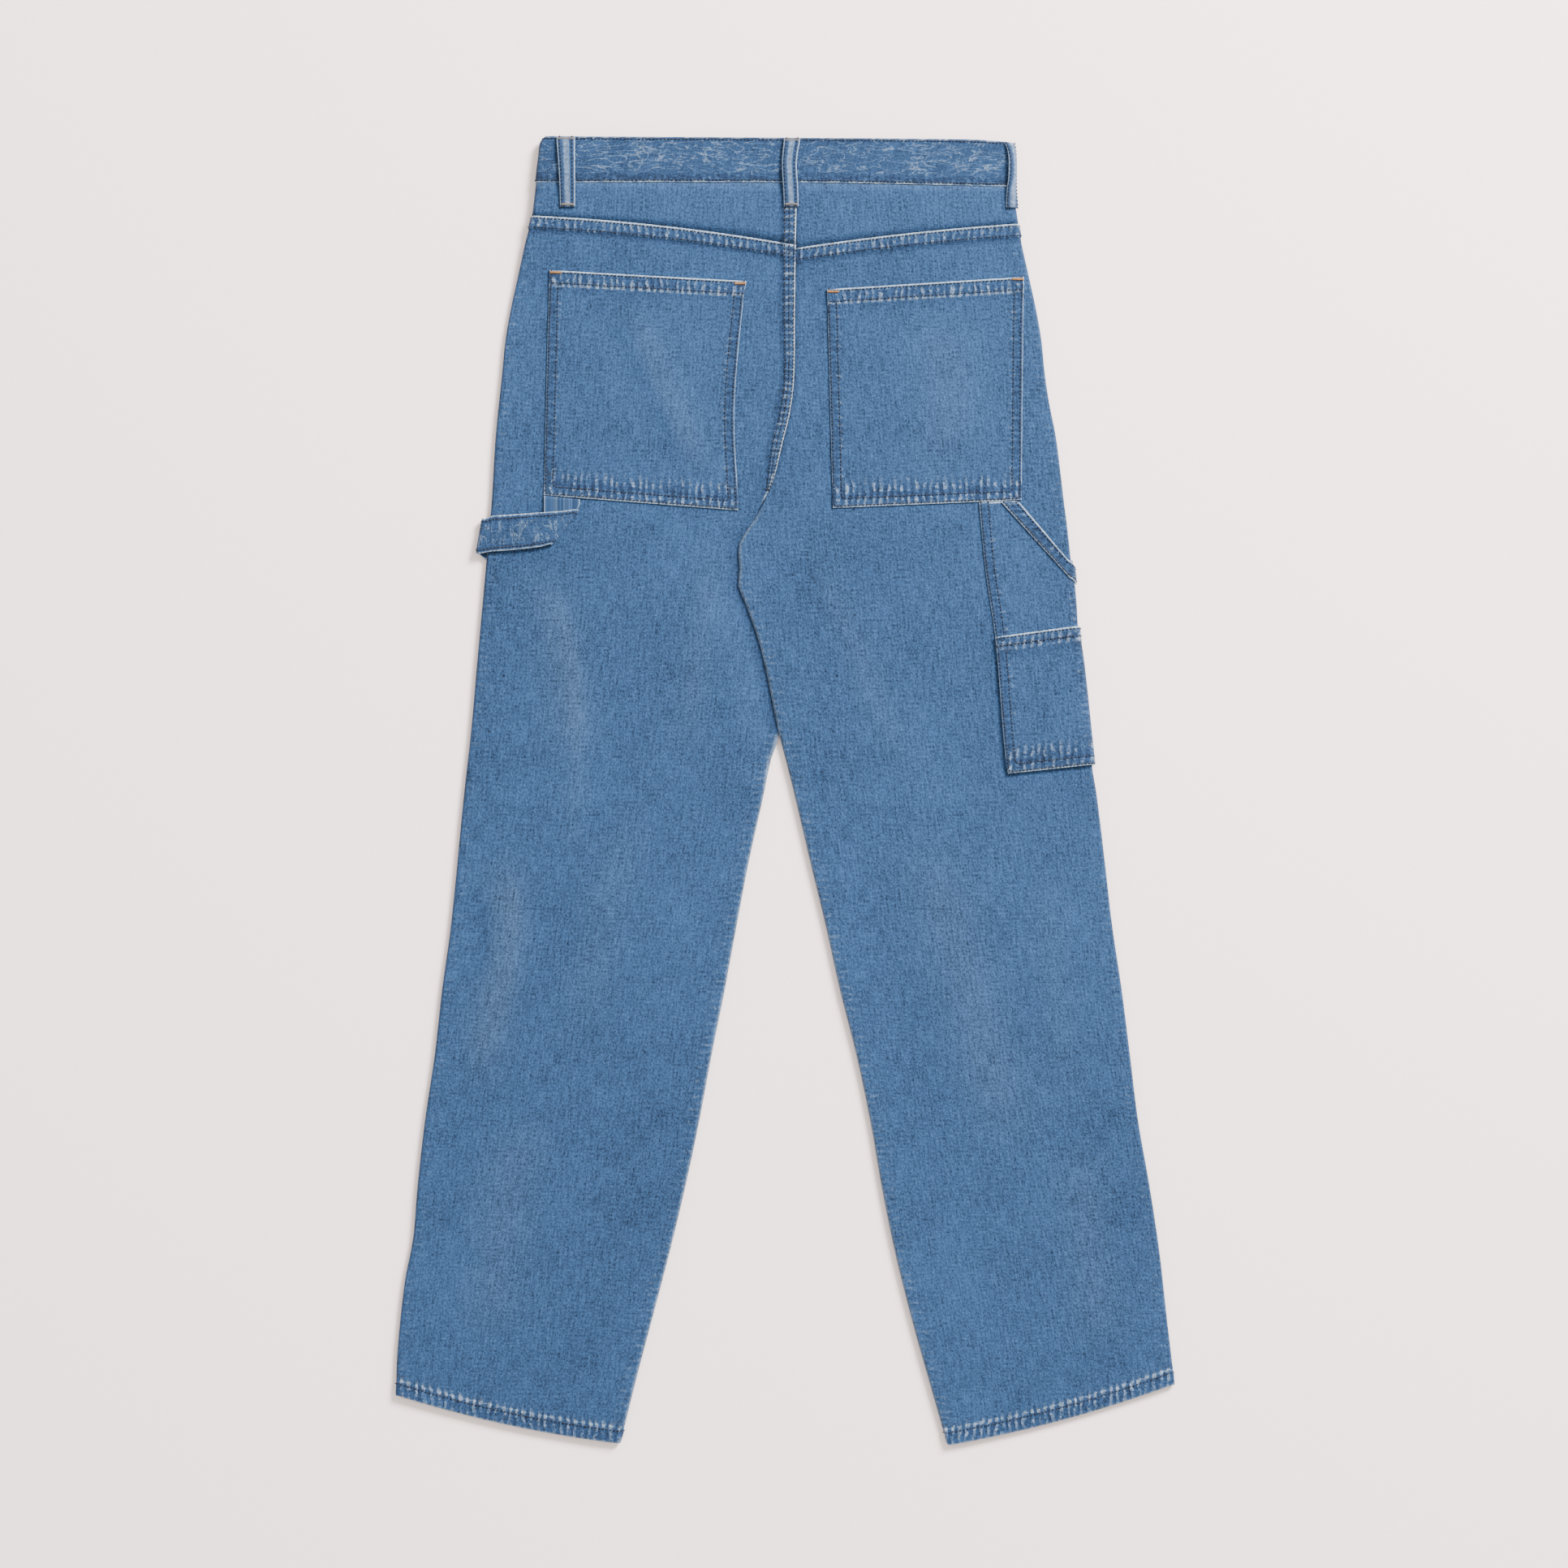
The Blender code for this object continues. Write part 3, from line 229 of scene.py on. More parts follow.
# Sides of the waistband (share of its depth, left across, right across)
BAND_ROWS = (
    (0.0, -198.5, 186.3), (0.12, -202.0, 187.3), (0.42, -203.6, 187.3), (0.7, -205.0, 187.3),
    (1.0, -206.2, 187.3),
)
BAND_SHARES = (
    0.0, 0.015, 0.035, 0.06, 0.12, 0.2, 0.28, 0.36, 0.44, 0.52, 0.6, 0.68, 0.76, 0.84, 0.9, 0.95, 0.985, 1.0,
)
BAND_UNDER_STEPS = 40
BAND_TURN_STEPS = 12
BAND_BACK_STEPS = 200
BAND_OVER_STEPS = 60
BAND_TOP = ((-196.0, 0.3), (150.0, 3.0), (187.0, 5.4))
BAND_BOTTOM = ((-206.0, 38.5), (10.0, 38.5), (187.0, 41.9))

# Belt loops of the back (down, left edge, right edge, arch)
LOOP_WALL = 1.5
LOOP_STEPS_DOWN = 36
LOOP_SHARES = (0.0, 0.04, 0.1, 0.2, 0.35, 0.5, 0.65, 0.8, 0.9, 0.96, 1.0)
SIDE_LOOP_STEPS = 20
LOOP_LEAVES_BAND = (42.0, 50.0)
BACK_LEFT_LOOP = (
    (1.0, -188.0, -172.9, 0.0), (5.0, -188.0, -172.9, 0.8), (13.0, -187.4, -172.9, 1.4),
    (23.0, -186.6, -172.9, 1.6), (33.0, -186.0, -172.9, 1.3), (41.0, -185.7, -172.9, 0.7),
    (48.0, -185.5, -172.9, 0.2), (58.5, -185.3, -172.9, 0.0),
)
CENTRE_LOOP = (
    (2.2, -1.0, 12.4, 0.0), (6.0, -1.2, 12.0, 0.8), (13.0, -2.0, 10.6, 1.4), (23.0, -2.7, 9.4, 1.6),
    (33.0, -2.4, 9.8, 1.3), (41.0, -1.8, 10.4, 0.7), (48.0, -1.4, 10.8, 0.2), (58.5, -1.0, 11.0, 0.0),
)
# Belt loop round the right side (down, bend centre across, bend radius, flat part, end angle)
BACK_RIGHT_LOOP = (
    (6.2, 183.9, 3.7, 3.4, 100.0), (11.0, 183.9, 4.5, 1.4, 110.0), (19.0, 183.9, 5.4, 0.2, 124.0),
    (28.0, 183.9, 5.6, 0.2, 126.0), (36.0, 184.0, 5.2, 0.6, 118.0), (43.5, 184.6, 4.5, 2.2, 106.0),
    (50.0, 185.8, 3.8, 3.8, 94.0), (59.5, 187.3, 3.2, 5.6, 86.0),
)
# Belt loops of the front (down, arch)
FRONT_LOOP = ((9.5, 0.0), (13.0, 0.4), (24.0, 0.5), (36.0, 0.5), (48.0, 0.4), (55.0, 0.1), (66.0, 0.0))
FRONT_LOOP_WIDTH = 12.0
FRONT_LOOP_LEFT = -106.0
FRONT_LOOP_RIGHT = 102.0

# Button
BUTTON_ACROSS = 4.0
BUTTON_DOWN = 33.0
BUTTON_SIDES = 48
BUTTON_COLOUR = (0.42, 0.33, 0.22)
# (radius, height) from the button's shown face to its back
BUTTON_RINGS = (
    (0.0, 0.25), (4.0, 0.25), (5.6, 0.05), (7.8, 0.0), (8.4, 0.4), (8.5, 1.2), (8.2, 2.0), (6.0, 2.2),
    (0.0, 2.2),
)

# Hammer loop (upper edge across, down, lower edge across, down, lift of its middle surface)
STRAP_WALL = 1.6
FIRST_BEND = 0.95
SECOND_BEND = 2.1
RETURN_HEIGHT = 2.6
STRAP_UNDER = (
    (-169.2, 299.2, -198.7, 296.1, 1.3),
    (-169.2, 303.0, -198.7, 311.0, 1.3),
)
FIRST_FOLD = (-169.6, 308.3, -192.0, 337.1)
STRAP_OVER = (
    (-184.0, 308.9, -202.0, 338.4, 3.2),
    (-208.0, 310.5, -214.0, 340.0, 3.1),
    (-226.8, 311.9, -229.0, 341.4, 2.6),
    (-240.5, 312.6, -243.0, 342.3, 2.0),
)
SECOND_FOLD = (-250.2, 314.6, -255.3, 343.6)
STRAP_RETURN_DOWN = 5.0
STRAP_SHARES = (0.0, 0.02, 0.06, 0.12, 0.2, 0.3, 0.4, 0.5, 0.6, 0.7, 0.8, 0.88, 0.94, 0.98, 1.0)

# Stitching: a bartack's pitch and length in metres, its width and the step of runs in millimetres
TACK_PITCH = 0.0006
TACK_LENGTH = 0.0022
TACK_WIDTH = 8.5
RUN_STEP = 3.0

# Studio, in metres
FLOOR_HALF = 6.0
FLOOR_HEIGHT = -0.0003
KEY_SIZE = 1.8
KEY_PLACE = (3.0, 3.4, 3.0)
WORLD_COLOUR = (1.0, 0.985, 0.97, 1.0)
WORLD_STRENGTH = 1.45
SENSOR_WIDTH = 36.0
CAMERA_PLACE = (-0.001, 0.0057)
CAMERA_SIGHT = 50.0


class ClothSettings(bpy.types.PropertyGroup):
    """Sizes and colours of the denim."""

    column_step: bpy.props.FloatProperty(
        name="Column Step", description="Distance between lengthwise lines of the panels",
        default=0.0026, min=0.001, unit="LENGTH")
    row_step: bpy.props.FloatProperty(
        name="Row Step", description="Distance between cross lines of the panels",
        default=0.0055, min=0.002, unit="LENGTH")
    pucker_height: bpy.props.FloatProperty(
        name="Pucker Height", description="Height of the ripples along the seams",
        default=0.0003, unit="LENGTH")
    denim_colour: bpy.props.FloatVectorProperty(
        name="Denim Colour", description="Washed denim", subtype="COLOR", size=3,
        default=(0.0135, 0.0362, 0.0862))
    # Lighter denim: worn edges and ripples, and painted light on fold and crease ridges
    faded_and_painted_light_colour: bpy.props.FloatVectorProperty(
        name="Faded Colour", description="Denim worn light on edges and ripples", subtype="COLOR", size=3,
        default=(0.27, 0.335, 0.41))
    # Darkest denim: ripple troughs, and painted shade beside raised edges, under the right leg and in fold
    # troughs
    deep_and_painted_shade_colour: bpy.props.FloatVectorProperty(
        name="Deep Colour", description="Denim that stayed dark beside the seams", subtype="COLOR", size=3,
        default=(0.0035, 0.0085, 0.026))


class StitchSettings(bpy.types.PropertyGroup):
    """Sizes and colours of the thread."""

    pitch: bpy.props.FloatProperty(
        name="Pitch", description="Distance from stitch to stitch", default=0.003, unit="LENGTH")
    length: bpy.props.FloatProperty(
        name="Length", description="Length of a stitch", default=0.0024, unit="LENGTH")
    thickness: bpy.props.FloatProperty(
        name="Thickness", description="Thickness of the thread", default=0.001, unit="LENGTH")
    thread_colour: bpy.props.FloatVectorProperty(
        name="Thread Colour", description="Seam thread", subtype="COLOR", size=3,
        default=(0.010, 0.008, 0.012))
    tack_colour: bpy.props.FloatVectorProperty(
        name="Tack Colour", description="Thread of the pockets' bartacks", subtype="COLOR", size=3,
        default=(0.24, 0.105, 0.028))
    loop_tack_colour: bpy.props.FloatVectorProperty(
        name="Loop Tack Colour", description="Thread of the belt loops' bartacks", subtype="COLOR", size=3,
        default=(0.11, 0.095, 0.085))


class StageSettings(bpy.types.PropertyGroup):
    """Floor, lights and camera."""

    floor_colour: bpy.props.FloatVectorProperty(
        name="Floor Colour", description="Pale plain floor", subtype="COLOR", size=3,
        default=(0.95, 0.80, 0.765))
    key_power: bpy.props.FloatProperty(
        name="Key Power", description="Power of the large soft light, in watts", default=1350.0, unit="POWER")
    camera_height: bpy.props.FloatProperty(
        name="Camera Height", description="Camera's height over the floor", default=3.0, unit="LENGTH")


def ease(value, start, end):
    """Smooth step from 0 at start to 1 at end."""
    share = min(max((value - start) / (end - start), 0.0), 1.0)
    return share * share * (3.0 - 2.0 * share)


def blend(first, last, share):
    """Number that lies a share of the way from first to last."""
    return first + (last - first) * share


def hump(value, start, end):
    """Round hump between start and end, 0 outside."""
    if value <= start or value >= end:
        return 0.0
    return math.sin(math.pi * (value - start) / (end - start))


def between(table, key):
    """Value of a two-column table at a key, on a smooth curve through its rows."""
    if key <= table[0][0]:
        return table[0][1]
    if key >= table[-1][0]:
        return table[-1][1]
    place = 0
    while table[place + 1][0] < key:
        place += 1
    low, first = table[place]
    high, last = table[place + 1]
    width = high - low
    slope = (last - first) / width
    before = slope
    after = slope
    if place > 0:
        before = (last - table[place - 1][1]) / (high - table[place - 1][0])
    if place < len(table) - 2:
        after = (table[place + 2][1] - first) / (table[place + 2][0] - low)
    share = (key - low) / width
    square = share * share
    cube = square * share
    return (
        first * (2.0 * cube - 3.0 * square + 1.0)
        + before * width * (cube - 2.0 * square + share)
        + last * (3.0 * square - 2.0 * cube)
        + after * width * (cube - square)
    )


class Leg:
    """One leg's edges and turns; side is -1 for the leg on the left and 1 for the one on the right."""

    def __init__(self, side, side_edge, folds):
        self.side = side
        self.side_edge = side_edge
        self.folds = folds

    def back_edge(self, down):
        """Reach of the back panel's inner edge."""
        if self.side > 0:
            return between(RIGHT_BACK_EDGE, down)
        if down <= PRESS_FULL:
            return GAP - between(RIGHT_BACK_EDGE, down)
        return -between(LEFT_BACK_EDGE, down)

    def front_edge(self, down):
        """Reach of the front panel's inner edge."""
        if down > LEGS_PART:
            return self.back_edge(down)
        if self.side > 0:
            return between(FRONT_MIDDLE, down) + GAP
        return -between(FRONT_MIDDLE, down)

    def back_turn(self, down):
        """Angle through which the back panel's inner edge turns down."""
        if self.side > 0:
            return QUARTER * ease(down, *RIGHT_BACK_TURN)
        return QUARTER * ease(down, *INSEAM_TURN)

    def front_turn(self, down):
        """Angle through which the front panel's inner edge turns up."""
        if self.side > 0:
            return QUARTER * ease(down, *RIGHT_FRONT_TURN)
        return QUARTER * ease(down, *INSEAM_TURN)

    def inner_bend(self, down):
        """Radius of the inner edge's turn."""
        if self.side > 0 and down < LEGS_PART:
            return FORK_BEND
        return (TUBE_HEIGHT - GAP) / 2.0

    def press(self, reach, down):
        """How far the left back is pressed flat under the right leg, from 0 to 1."""
        if self.side > 0:
            return 0.0
        amount = ease(down, PRESS_FROM, PRESS_FULL) * math.cos(self.back_turn(down))
        if down < LEGS_PART:
            cover = -between(RIGHT_BACK_EDGE, down)
        else:
            cover = self.back_edge(down)
        return amount * (1.0 - ease(reach - cover, PRESS_MARGIN, PRESS_WIDTH))


LEFT_LEG = Leg(-1.0, LEFT_SIDE, LEFT_FOLDS)
RIGHT_LEG = Leg(1.0, RIGHT_SIDE, RIGHT_FOLDS)


def waist_share(down):
    """1 at the waist, falling to 0 below it."""
    return 1.0 - ease(down, LIFT_FROM, LIFT_TO)


def side_bend(down):
    """Radius of the side seam's turn."""
    return (TUBE_HEIGHT + WAIST_EXTRA * waist_share(down) - GAP) / 2.0


def fold_height(folds, reach, down):
    """Height that folds add at a point."""
    total = 0.0
    for path, height, half_width, fade in folds:
        start = path[0][0]
        end = path[-1][0]
        if down <= start or down >= end:
            continue
        away = (reach - between(path, down)) / half_width
        if abs(away) < 3.0:
            strength = ease(down, start, start + fade) * (1.0 - ease(down, end - fade, end))
            total += height * strength * math.exp(-away * away)
    return total


def back_height(leg, reach, down):
    """Height of a back panel's outer face on its flat part."""
    share = waist_share(down)
    edge = WAIST_LIFT * share + TUBE_HEIGHT + WAIST_EXTRA * share
    from_side = ease(between(leg.side_edge, down) - reach, 0.0, SAG_WIDTH)
    from_edge = ease(reach - leg.back_edge(down), 0.0, SAG_WIDTH)
    from_inner = 1.0 - ease(down, *SAG_LEAVES_FORK) * (1.0 - from_edge)
    sag = MID_SAG * from_side * from_inner * ease(down, *SAG_SETS_IN)
    free = edge - sag + fold_height(leg.folds, reach, down)
    return blend(free, PRESSED_HEIGHT, leg.press(reach, down))


def back_point(leg, reach, down, out):
    """Point on a back panel; past the flat part, reach goes round the turned edges."""
    bend = side_bend(down)
    flat_end = between(leg.side_edge, down) - bend
    inner_bend = leg.inner_bend(down)
    flat_start = leg.back_edge(down) + inner_bend * math.sin(leg.back_turn(down))
    if reach > flat_end:
        angle = (reach - flat_end) / bend
        across = flat_end + (bend + out) * math.sin(angle)
        height = back_height(leg, flat_end, down) - bend + (bend + out) * math.cos(angle)
    elif reach < flat_start:
        angle = (flat_start - reach) / inner_bend
        across = flat_start - (inner_bend + out) * math.sin(angle)
        height = back_height(leg, flat_start, down) - inner_bend + (inner_bend + out) * math.cos(angle)
    else:
        across = reach
        height = back_height(leg, reach, down) + out
    return (leg.side * across, down, height)


def front_point(leg, reach, down, out):
    """Point on a front panel, whose outer face lies on the floor."""
    bend = side_bend(down)
    flat_end = between(leg.side_edge, down) - bend
    inner_bend = leg.inner_bend(LEGS_PART)
    flat_start = leg.front_edge(down) + inner_bend * math.sin(leg.front_turn(down))
    base = WAIST_LIFT * waist_share(down)
    if reach > flat_end:
        angle = (reach - flat_end) / bend
        across = flat_end + (bend + out) * math.sin(angle)
        height = base + bend - (bend + out) * math.cos(angle)
    elif reach < flat_start:
        angle = (flat_start - reach) / inner_bend
        across = flat_start - (inner_bend + out) * math.sin(angle)
        height = base + inner_bend - (inner_bend + out) * math.cos(angle)
    else:
        across = reach
        height = base - out + 0.4 * fold_height(FRONT_FOLDS, reach, down)
    return (leg.side * across, down, height)


def row_down(row, reach, flat_start, flat_end):
    """Depth of a row at a reach."""
    side_down, inner_down, bow = row
    share = min(max((flat_end - reach) / (flat_end - flat_start), 0.0), 1.0)
    return blend(side_down, inner_down, share) + bow * 4.0 * share * (1.0 - share)


def row_ends(leg, row, back=True):
    """Reach at which a row's flat part starts and ends."""
    side_down, inner_down = row[:2]
    flat_end = between(leg.side_edge, side_down) - side_bend(side_down)
    if back:
        edge = leg.back_edge(inner_down)
        turn = leg.back_turn(inner_down)
        inner_bend = leg.inner_bend(inner_down)
    else:
        edge = leg.front_edge(inner_down)
        turn = leg.front_turn(inner_down)
        inner_bend = leg.inner_bend(LEGS_PART)
    flat_start = edge + inner_bend * math.sin(turn)
    return flat_start, flat_end, flat_start - inner_bend * turn


def shifted(row, distance):
    """A row moved down by a distance."""
    return (row[0] + distance, row[1] + distance, row[2])


def rows_from(first, last, step):
    """Rows between two rows, about a step apart, with the first and without the last."""
    count = max(int((last[0] - first[0]) / step), 1)
    return [tuple(blend(first[i], last[i], number / count) for i in range(3)) for number in range(count)]


def placed(point):
    """Point of (across, down, height) in millimetres as the frame's metres."""
    across, down, height = point
    return (across * MILLIMETRE, (ORIGIN_DOWN - down) * MILLIMETRE, height * MILLIMETRE)


class Cloth:
    """Points of a shell's outer and inner face and their looks (u, v, fade, pucker, along), by rows."""

    def __init__(self):
        self.outer = []
        self.inner = []
        self.looks = []

    def new_row(self):
        """Start the next row."""
        for rows in (self.outer, self.inner, self.looks):
            rows.append([])

    def add(self, outer, inner, look):
        """Add a point to the row."""
        for rows, value in ((self.outer, outer), (self.inner, inner), (self.looks, look)):
            rows[-1].append(value)

    def shell(self, name, material):
        """Close the rows into a mesh object."""
        return make_shell(name, self.outer, self.inner, self.looks, material)


def make_shell(name, outer, inner, looks, material):
    """Closed shell between two matching grids."""
    starts = []
    size = 0
    for row in outer:
        starts.append(size)
        size += len(row)
    points = [placed(point) for row in outer for point in row]
    points += [placed(point) for row in inner for point in row]
    faces = []
    borders = {}
    for number in range(len(outer) - 1):
        for column in range(min(len(outer[number]), len(outer[number + 1])) - 1):
            corner = starts[number] + column
            below = starts[number + 1] + column
            face = (corner, corner + 1, below + 1, below)
            faces.append(face)
            faces.append(tuple(size + index for index in reversed(face)))
            for edge in zip(face, face[1:] + face[:1]):
                if edge[::-1] in borders:
                    del borders[edge[::-1]]
                else:
                    borders[edge] = True
    for start, end in borders:
        faces.append((end, start, size + start, size + end))
    if enclosed(points, faces) < 0.0:
        faces = [tuple(reversed(face)) for face in faces]
    mesh = bpy.data.meshes.new(name)
    mesh.from_pydata(points, [], faces)
    mesh.update()
    values = [look for row in looks for look in row] * 2
    seam = mesh.attributes.new("seam", "FLOAT_VECTOR", "POINT")
    seam.data.foreach_set("vector", [number for look in values for number in look[2:5]])
    cloth_map = mesh.uv_layers.new(name="Cloth")
    flat = []
    for loop in mesh.loops:
        flat.extend(values[loop.vertex_index][:2])
    cloth_map.data.foreach_set("uv", flat)
    mesh.polygons.foreach_set("use_smooth", [True] * len(mesh.polygons))
    mesh.materials.append(material)
    piece = bpy.data.objects.new(name, mesh)
    bpy.context.scene.collection.objects.link(piece)
    return piece


def enclosed(points, faces):
    """Six times the volume that the faces enclose."""
    total = 0.0
    for face in faces:
        first = Vector(points[face[0]])
        for second, third in zip(face[1:], face[2:]):
            total += first.dot(Vector(points[second]).cross(Vector(points[third])))
    return total


def declare(piece, node):
    """Stand a cloth piece in for its node: hide the node's part and attach the piece to the root body."""
    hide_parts(node)
    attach(piece, "root")


def grain_place(leg, reach, down):
    """Across place of the weave, whose warp runs along the leg's middle."""
    return leg.side * (reach - between(LEG_MIDDLE, down)) * MILLIMETRE


def panel_look(leg, reach, down, from_top, from_bottom, from_inner, from_side, top_strip):
    """Fade, pucker and run along the nearest seam, at a point of a back panel; the fade holds worn light
    edges, and also painted shade beside raised edges and under the right leg, and painted light and shade on
    folds.
    """
    fade = 0.0
    pucker = 0.0
    along = reach
    if top_strip:
        if from_top < 2.0:
            fade += 0.9 * (1.0 - from_top / 2.0)
        pucker = hump(from_top, 0.5, SEAM_STRIP + 3.0)
        # Painted shade just below the raised seam strip's lower edge
        fade -= 0.45 * hump(from_top, SEAM_STRIP - 0.5, SEAM_STRIP + 4.0)
    hem = hump(from_bottom, -1.0, HEM_DEPTH + 7.0)
    if hem > pucker:
        pucker = hem
        fade += 0.45 * hump(from_bottom, HEM_DEPTH, HEM_DEPTH + 4.0)
        fade += 0.5 * (1.0 - ease(from_bottom, 0.0, 1.6))
    if leg.side < 0 and down < FORK_DOWN:
        strip = between(SEAT_STRIP, down)
        if from_inner < 1.4:
            fade += 0.6
        seat = hump(from_inner, 0.3, strip + 3.0) * (1.0 - ease(down, *SEAT_LOOK_ENDS))
        # Painted shade beside the raised seat seam strip's edge
        fade -= 0.35 * hump(from_inner, strip - 0.5, strip + 4.0)
        if seat > pucker:
            pucker = seat
            along = down
    # Painted shadow of the right leg's edge on the left back, within 11 mm of that edge
    if leg.side < 0 and down < LEGS_PART:
        cover = -between(RIGHT_BACK_EDGE, down)
        fade -= 0.45 * (1.0 - ease(reach - cover, 0.0, 11.0)) * ease(down, 300.0, 340.0)
    # Painted shadow on the right back beside the left back's lapped seat seam edge
    if leg.side > 0 and down < FORK_DOWN:
        fade -= 0.5 * (1.0 - ease(from_inner, 0.5, 5.0)) * (1.0 - ease(down, *SEAT_LOOK_ENDS))
    if down > FORK_DOWN:
        edge = 1.0 - ease(from_inner, 0.0, 5.0)
        fade += 0.35 * edge * ease(down, 300.0, 330.0)
        rim = 0.22 * hump(from_inner, 1.0, 14.0) * ease(down, 320.0, 400.0)
        if rim > pucker:
            pucker = rim
            along = down
    rim = 0.15 * hump(from_side, 1.0, 12.0)
    if rim > pucker:
        pucker = rim
        along = down
    # Painted light and shade on the folds: lighter on their ridges, darker in their troughs
    fade += FOLD_PAINTED_SHADING * fold_height(leg.folds, reach, down)
    return (grain_place(leg, reach, down), -down * MILLIMETRE, fade, pucker, along)


def ripple(along, period=6.0):
    """Wave of a pucker along a seam, of uneven spacing."""
    turn = 2.0 * math.pi
    bend = 1.3 * math.sin(turn * along / 41.0) + 0.9 * math.sin(turn * along / 23.0 + 1.7)
    return math.sin(turn * along / period + bend)


def back_columns(leg, row, step):
    """Reaches of a back row's points."""
    flat_start, flat_end, inner_end = row_ends(leg, row)
    strip = between(SEAT_STRIP, row[1])
    if leg.side > 0:
        strip = 4.0
    columns = [inner_end + strip * place for place in STRIP_PLACES]
    columns.append(columns[-1] + 0.6)
    columns.append(columns[-1] + 1.4)
    count = int(PANEL_SPAN / step)
    start = columns[-1]
    for number in range(1, count + 1):
        columns.append(blend(start, flat_end, number / count))
    quarter = side_bend(row[0]) * QUARTER
    columns += [flat_end + quarter * place for place in TURN_PLACES]
    return columns, flat_start, flat_end, inner_end


def back_panel(name, leg, rows, material, cloth, top_strip=True, bottom_hem=True):
    """Yoke or back panel as a shell, its seams raised and puckered."""
    grid = Cloth()
    for row in rows:
        columns, flat_start, flat_end, inner_end = back_columns(leg, row, cloth.column_step / MILLIMETRE)
        grid.new_row()
        last_reach = columns[-1]
        for reach in columns:
            down = row_down(row, reach, flat_start, flat_end)
            first_down = row_down(rows[0], reach, flat_start, flat_end)
            last_down = row_down(rows[-1], reach, flat_start, flat_end)
            from_top = down - first_down if top_strip else 100.0
            from_bottom = last_down - down if bottom_hem else 100.0
            from_inner = reach - inner_end
            from_side = last_reach - reach
            look = panel_look(leg, reach, down, from_top, from_bottom, from_inner, from_side, top_strip)
            rise = 0.0
            if top_strip:
                rise = SEAM_RAISE * (1.0 - ease(from_top, SEAM_STRIP - 0.4, SEAM_STRIP + 0.4))
            if leg.side < 0:
                strip = between(SEAT_STRIP, down)
                seat = 1.0 - ease(from_inner, strip - 0.3, strip + 0.4)
                rise = max(rise, SEAM_RAISE * seat * (1.0 - ease(down, *SEAT_RISE_ENDS)))
            if from_bottom < HEM_DEPTH:
                rise += 0.25
            rounding = 0.35 * (1.0 - ease(from_top, 0.0, 1.2)) + 0.35 * (1.0 - ease(from_bottom, 0.0, 1.2))
            relief = cloth.pucker_height / MILLIMETRE * look[3] * ripple(look[4])
            top = back_point(leg, reach, down, rise - rounding + relief)
            grid.add(top, back_point(leg, reach, down, -SHELL), look)
    return grid.shell(name, material)


def front_panel(name, leg, rows, material):
    """Front panel as a shell, plain and flat on the floor."""
    grid = Cloth()
    for row in rows:
        flat_start, flat_end, inner_end = row_ends(leg, row, back=False)
        bend = leg.inner_bend(LEGS_PART) * QUARTER
        columns = [inner_end + bend * place for place in (0.0,) + FRONT_TURN_PLACES]
        start = columns[-1]
        steps = range(1, PLAIN_COLUMNS + 1)
        columns += [blend(start, flat_end, number / PLAIN_COLUMNS) for number in steps]
        quarter = side_bend(row[0]) * QUARTER
        columns += [flat_end + quarter * place for place in FRONT_TURN_PLACES]
        grid.new_row()
        for place, reach in enumerate(columns):
            down = row_down(row, reach, flat_start, flat_end)
            from_bottom = row_down(rows[-1], reach, flat_start, flat_end) - down
            hem = hump(from_bottom, -1.0, HEM_DEPTH + 6.0)
            look = (place / len(columns) * 0.25, -down * MILLIMETRE, 0.0, hem, reach)
            grid.add(front_point(leg, reach, down, 0.0), front_point(leg, reach, down, -SHELL), look)
    return grid.shell(name, material)


def patch_look(across_share, width, from_top, from_bottom, reach, down, hem):
    """Fade, pucker and run of a pocket patch, from its edges; the fade includes painted shade just below the
    raised hem.
    """
    from_left = across_share * width
    from_right = (1.0 - across_share) * width
    from_side = min(from_left, from_right)
    nearest = min(from_side, from_top, from_bottom)
    fade = 0.95 * (1.0 - ease(nearest, 0.0, 1.8))
    along = reach
    pucker = 0.0
    if from_bottom < 26.0:
        pucker = max(1.0 - ease(from_bottom, 12.0, 26.0), 0.0) * ease(from_bottom, 0.4, 2.0)
        fade -= 0.35 * hump(from_bottom, 7.0, 12.0)
    if hem and from_top < POCKET_HEM + 6.0:
        pucker = hump(from_top, 0.6, POCKET_HEM + 3.0)
        fade += 0.4 * hump(from_top, POCKET_HEM - 1.2, POCKET_HEM + 1.6)
        # Painted shade just below the raised pocket hem
        fade -= 0.4 * hump(from_top, POCKET_HEM + 1.2, POCKET_HEM + 6.0)
    side = 0.6 * hump(from_side, 0.8, 14.0)
    if side > pucker:
        pucker = side
        along = down
        fade -= 0.25 * hump(from_side, 2.0, 10.0)
    return fade, pucker, along


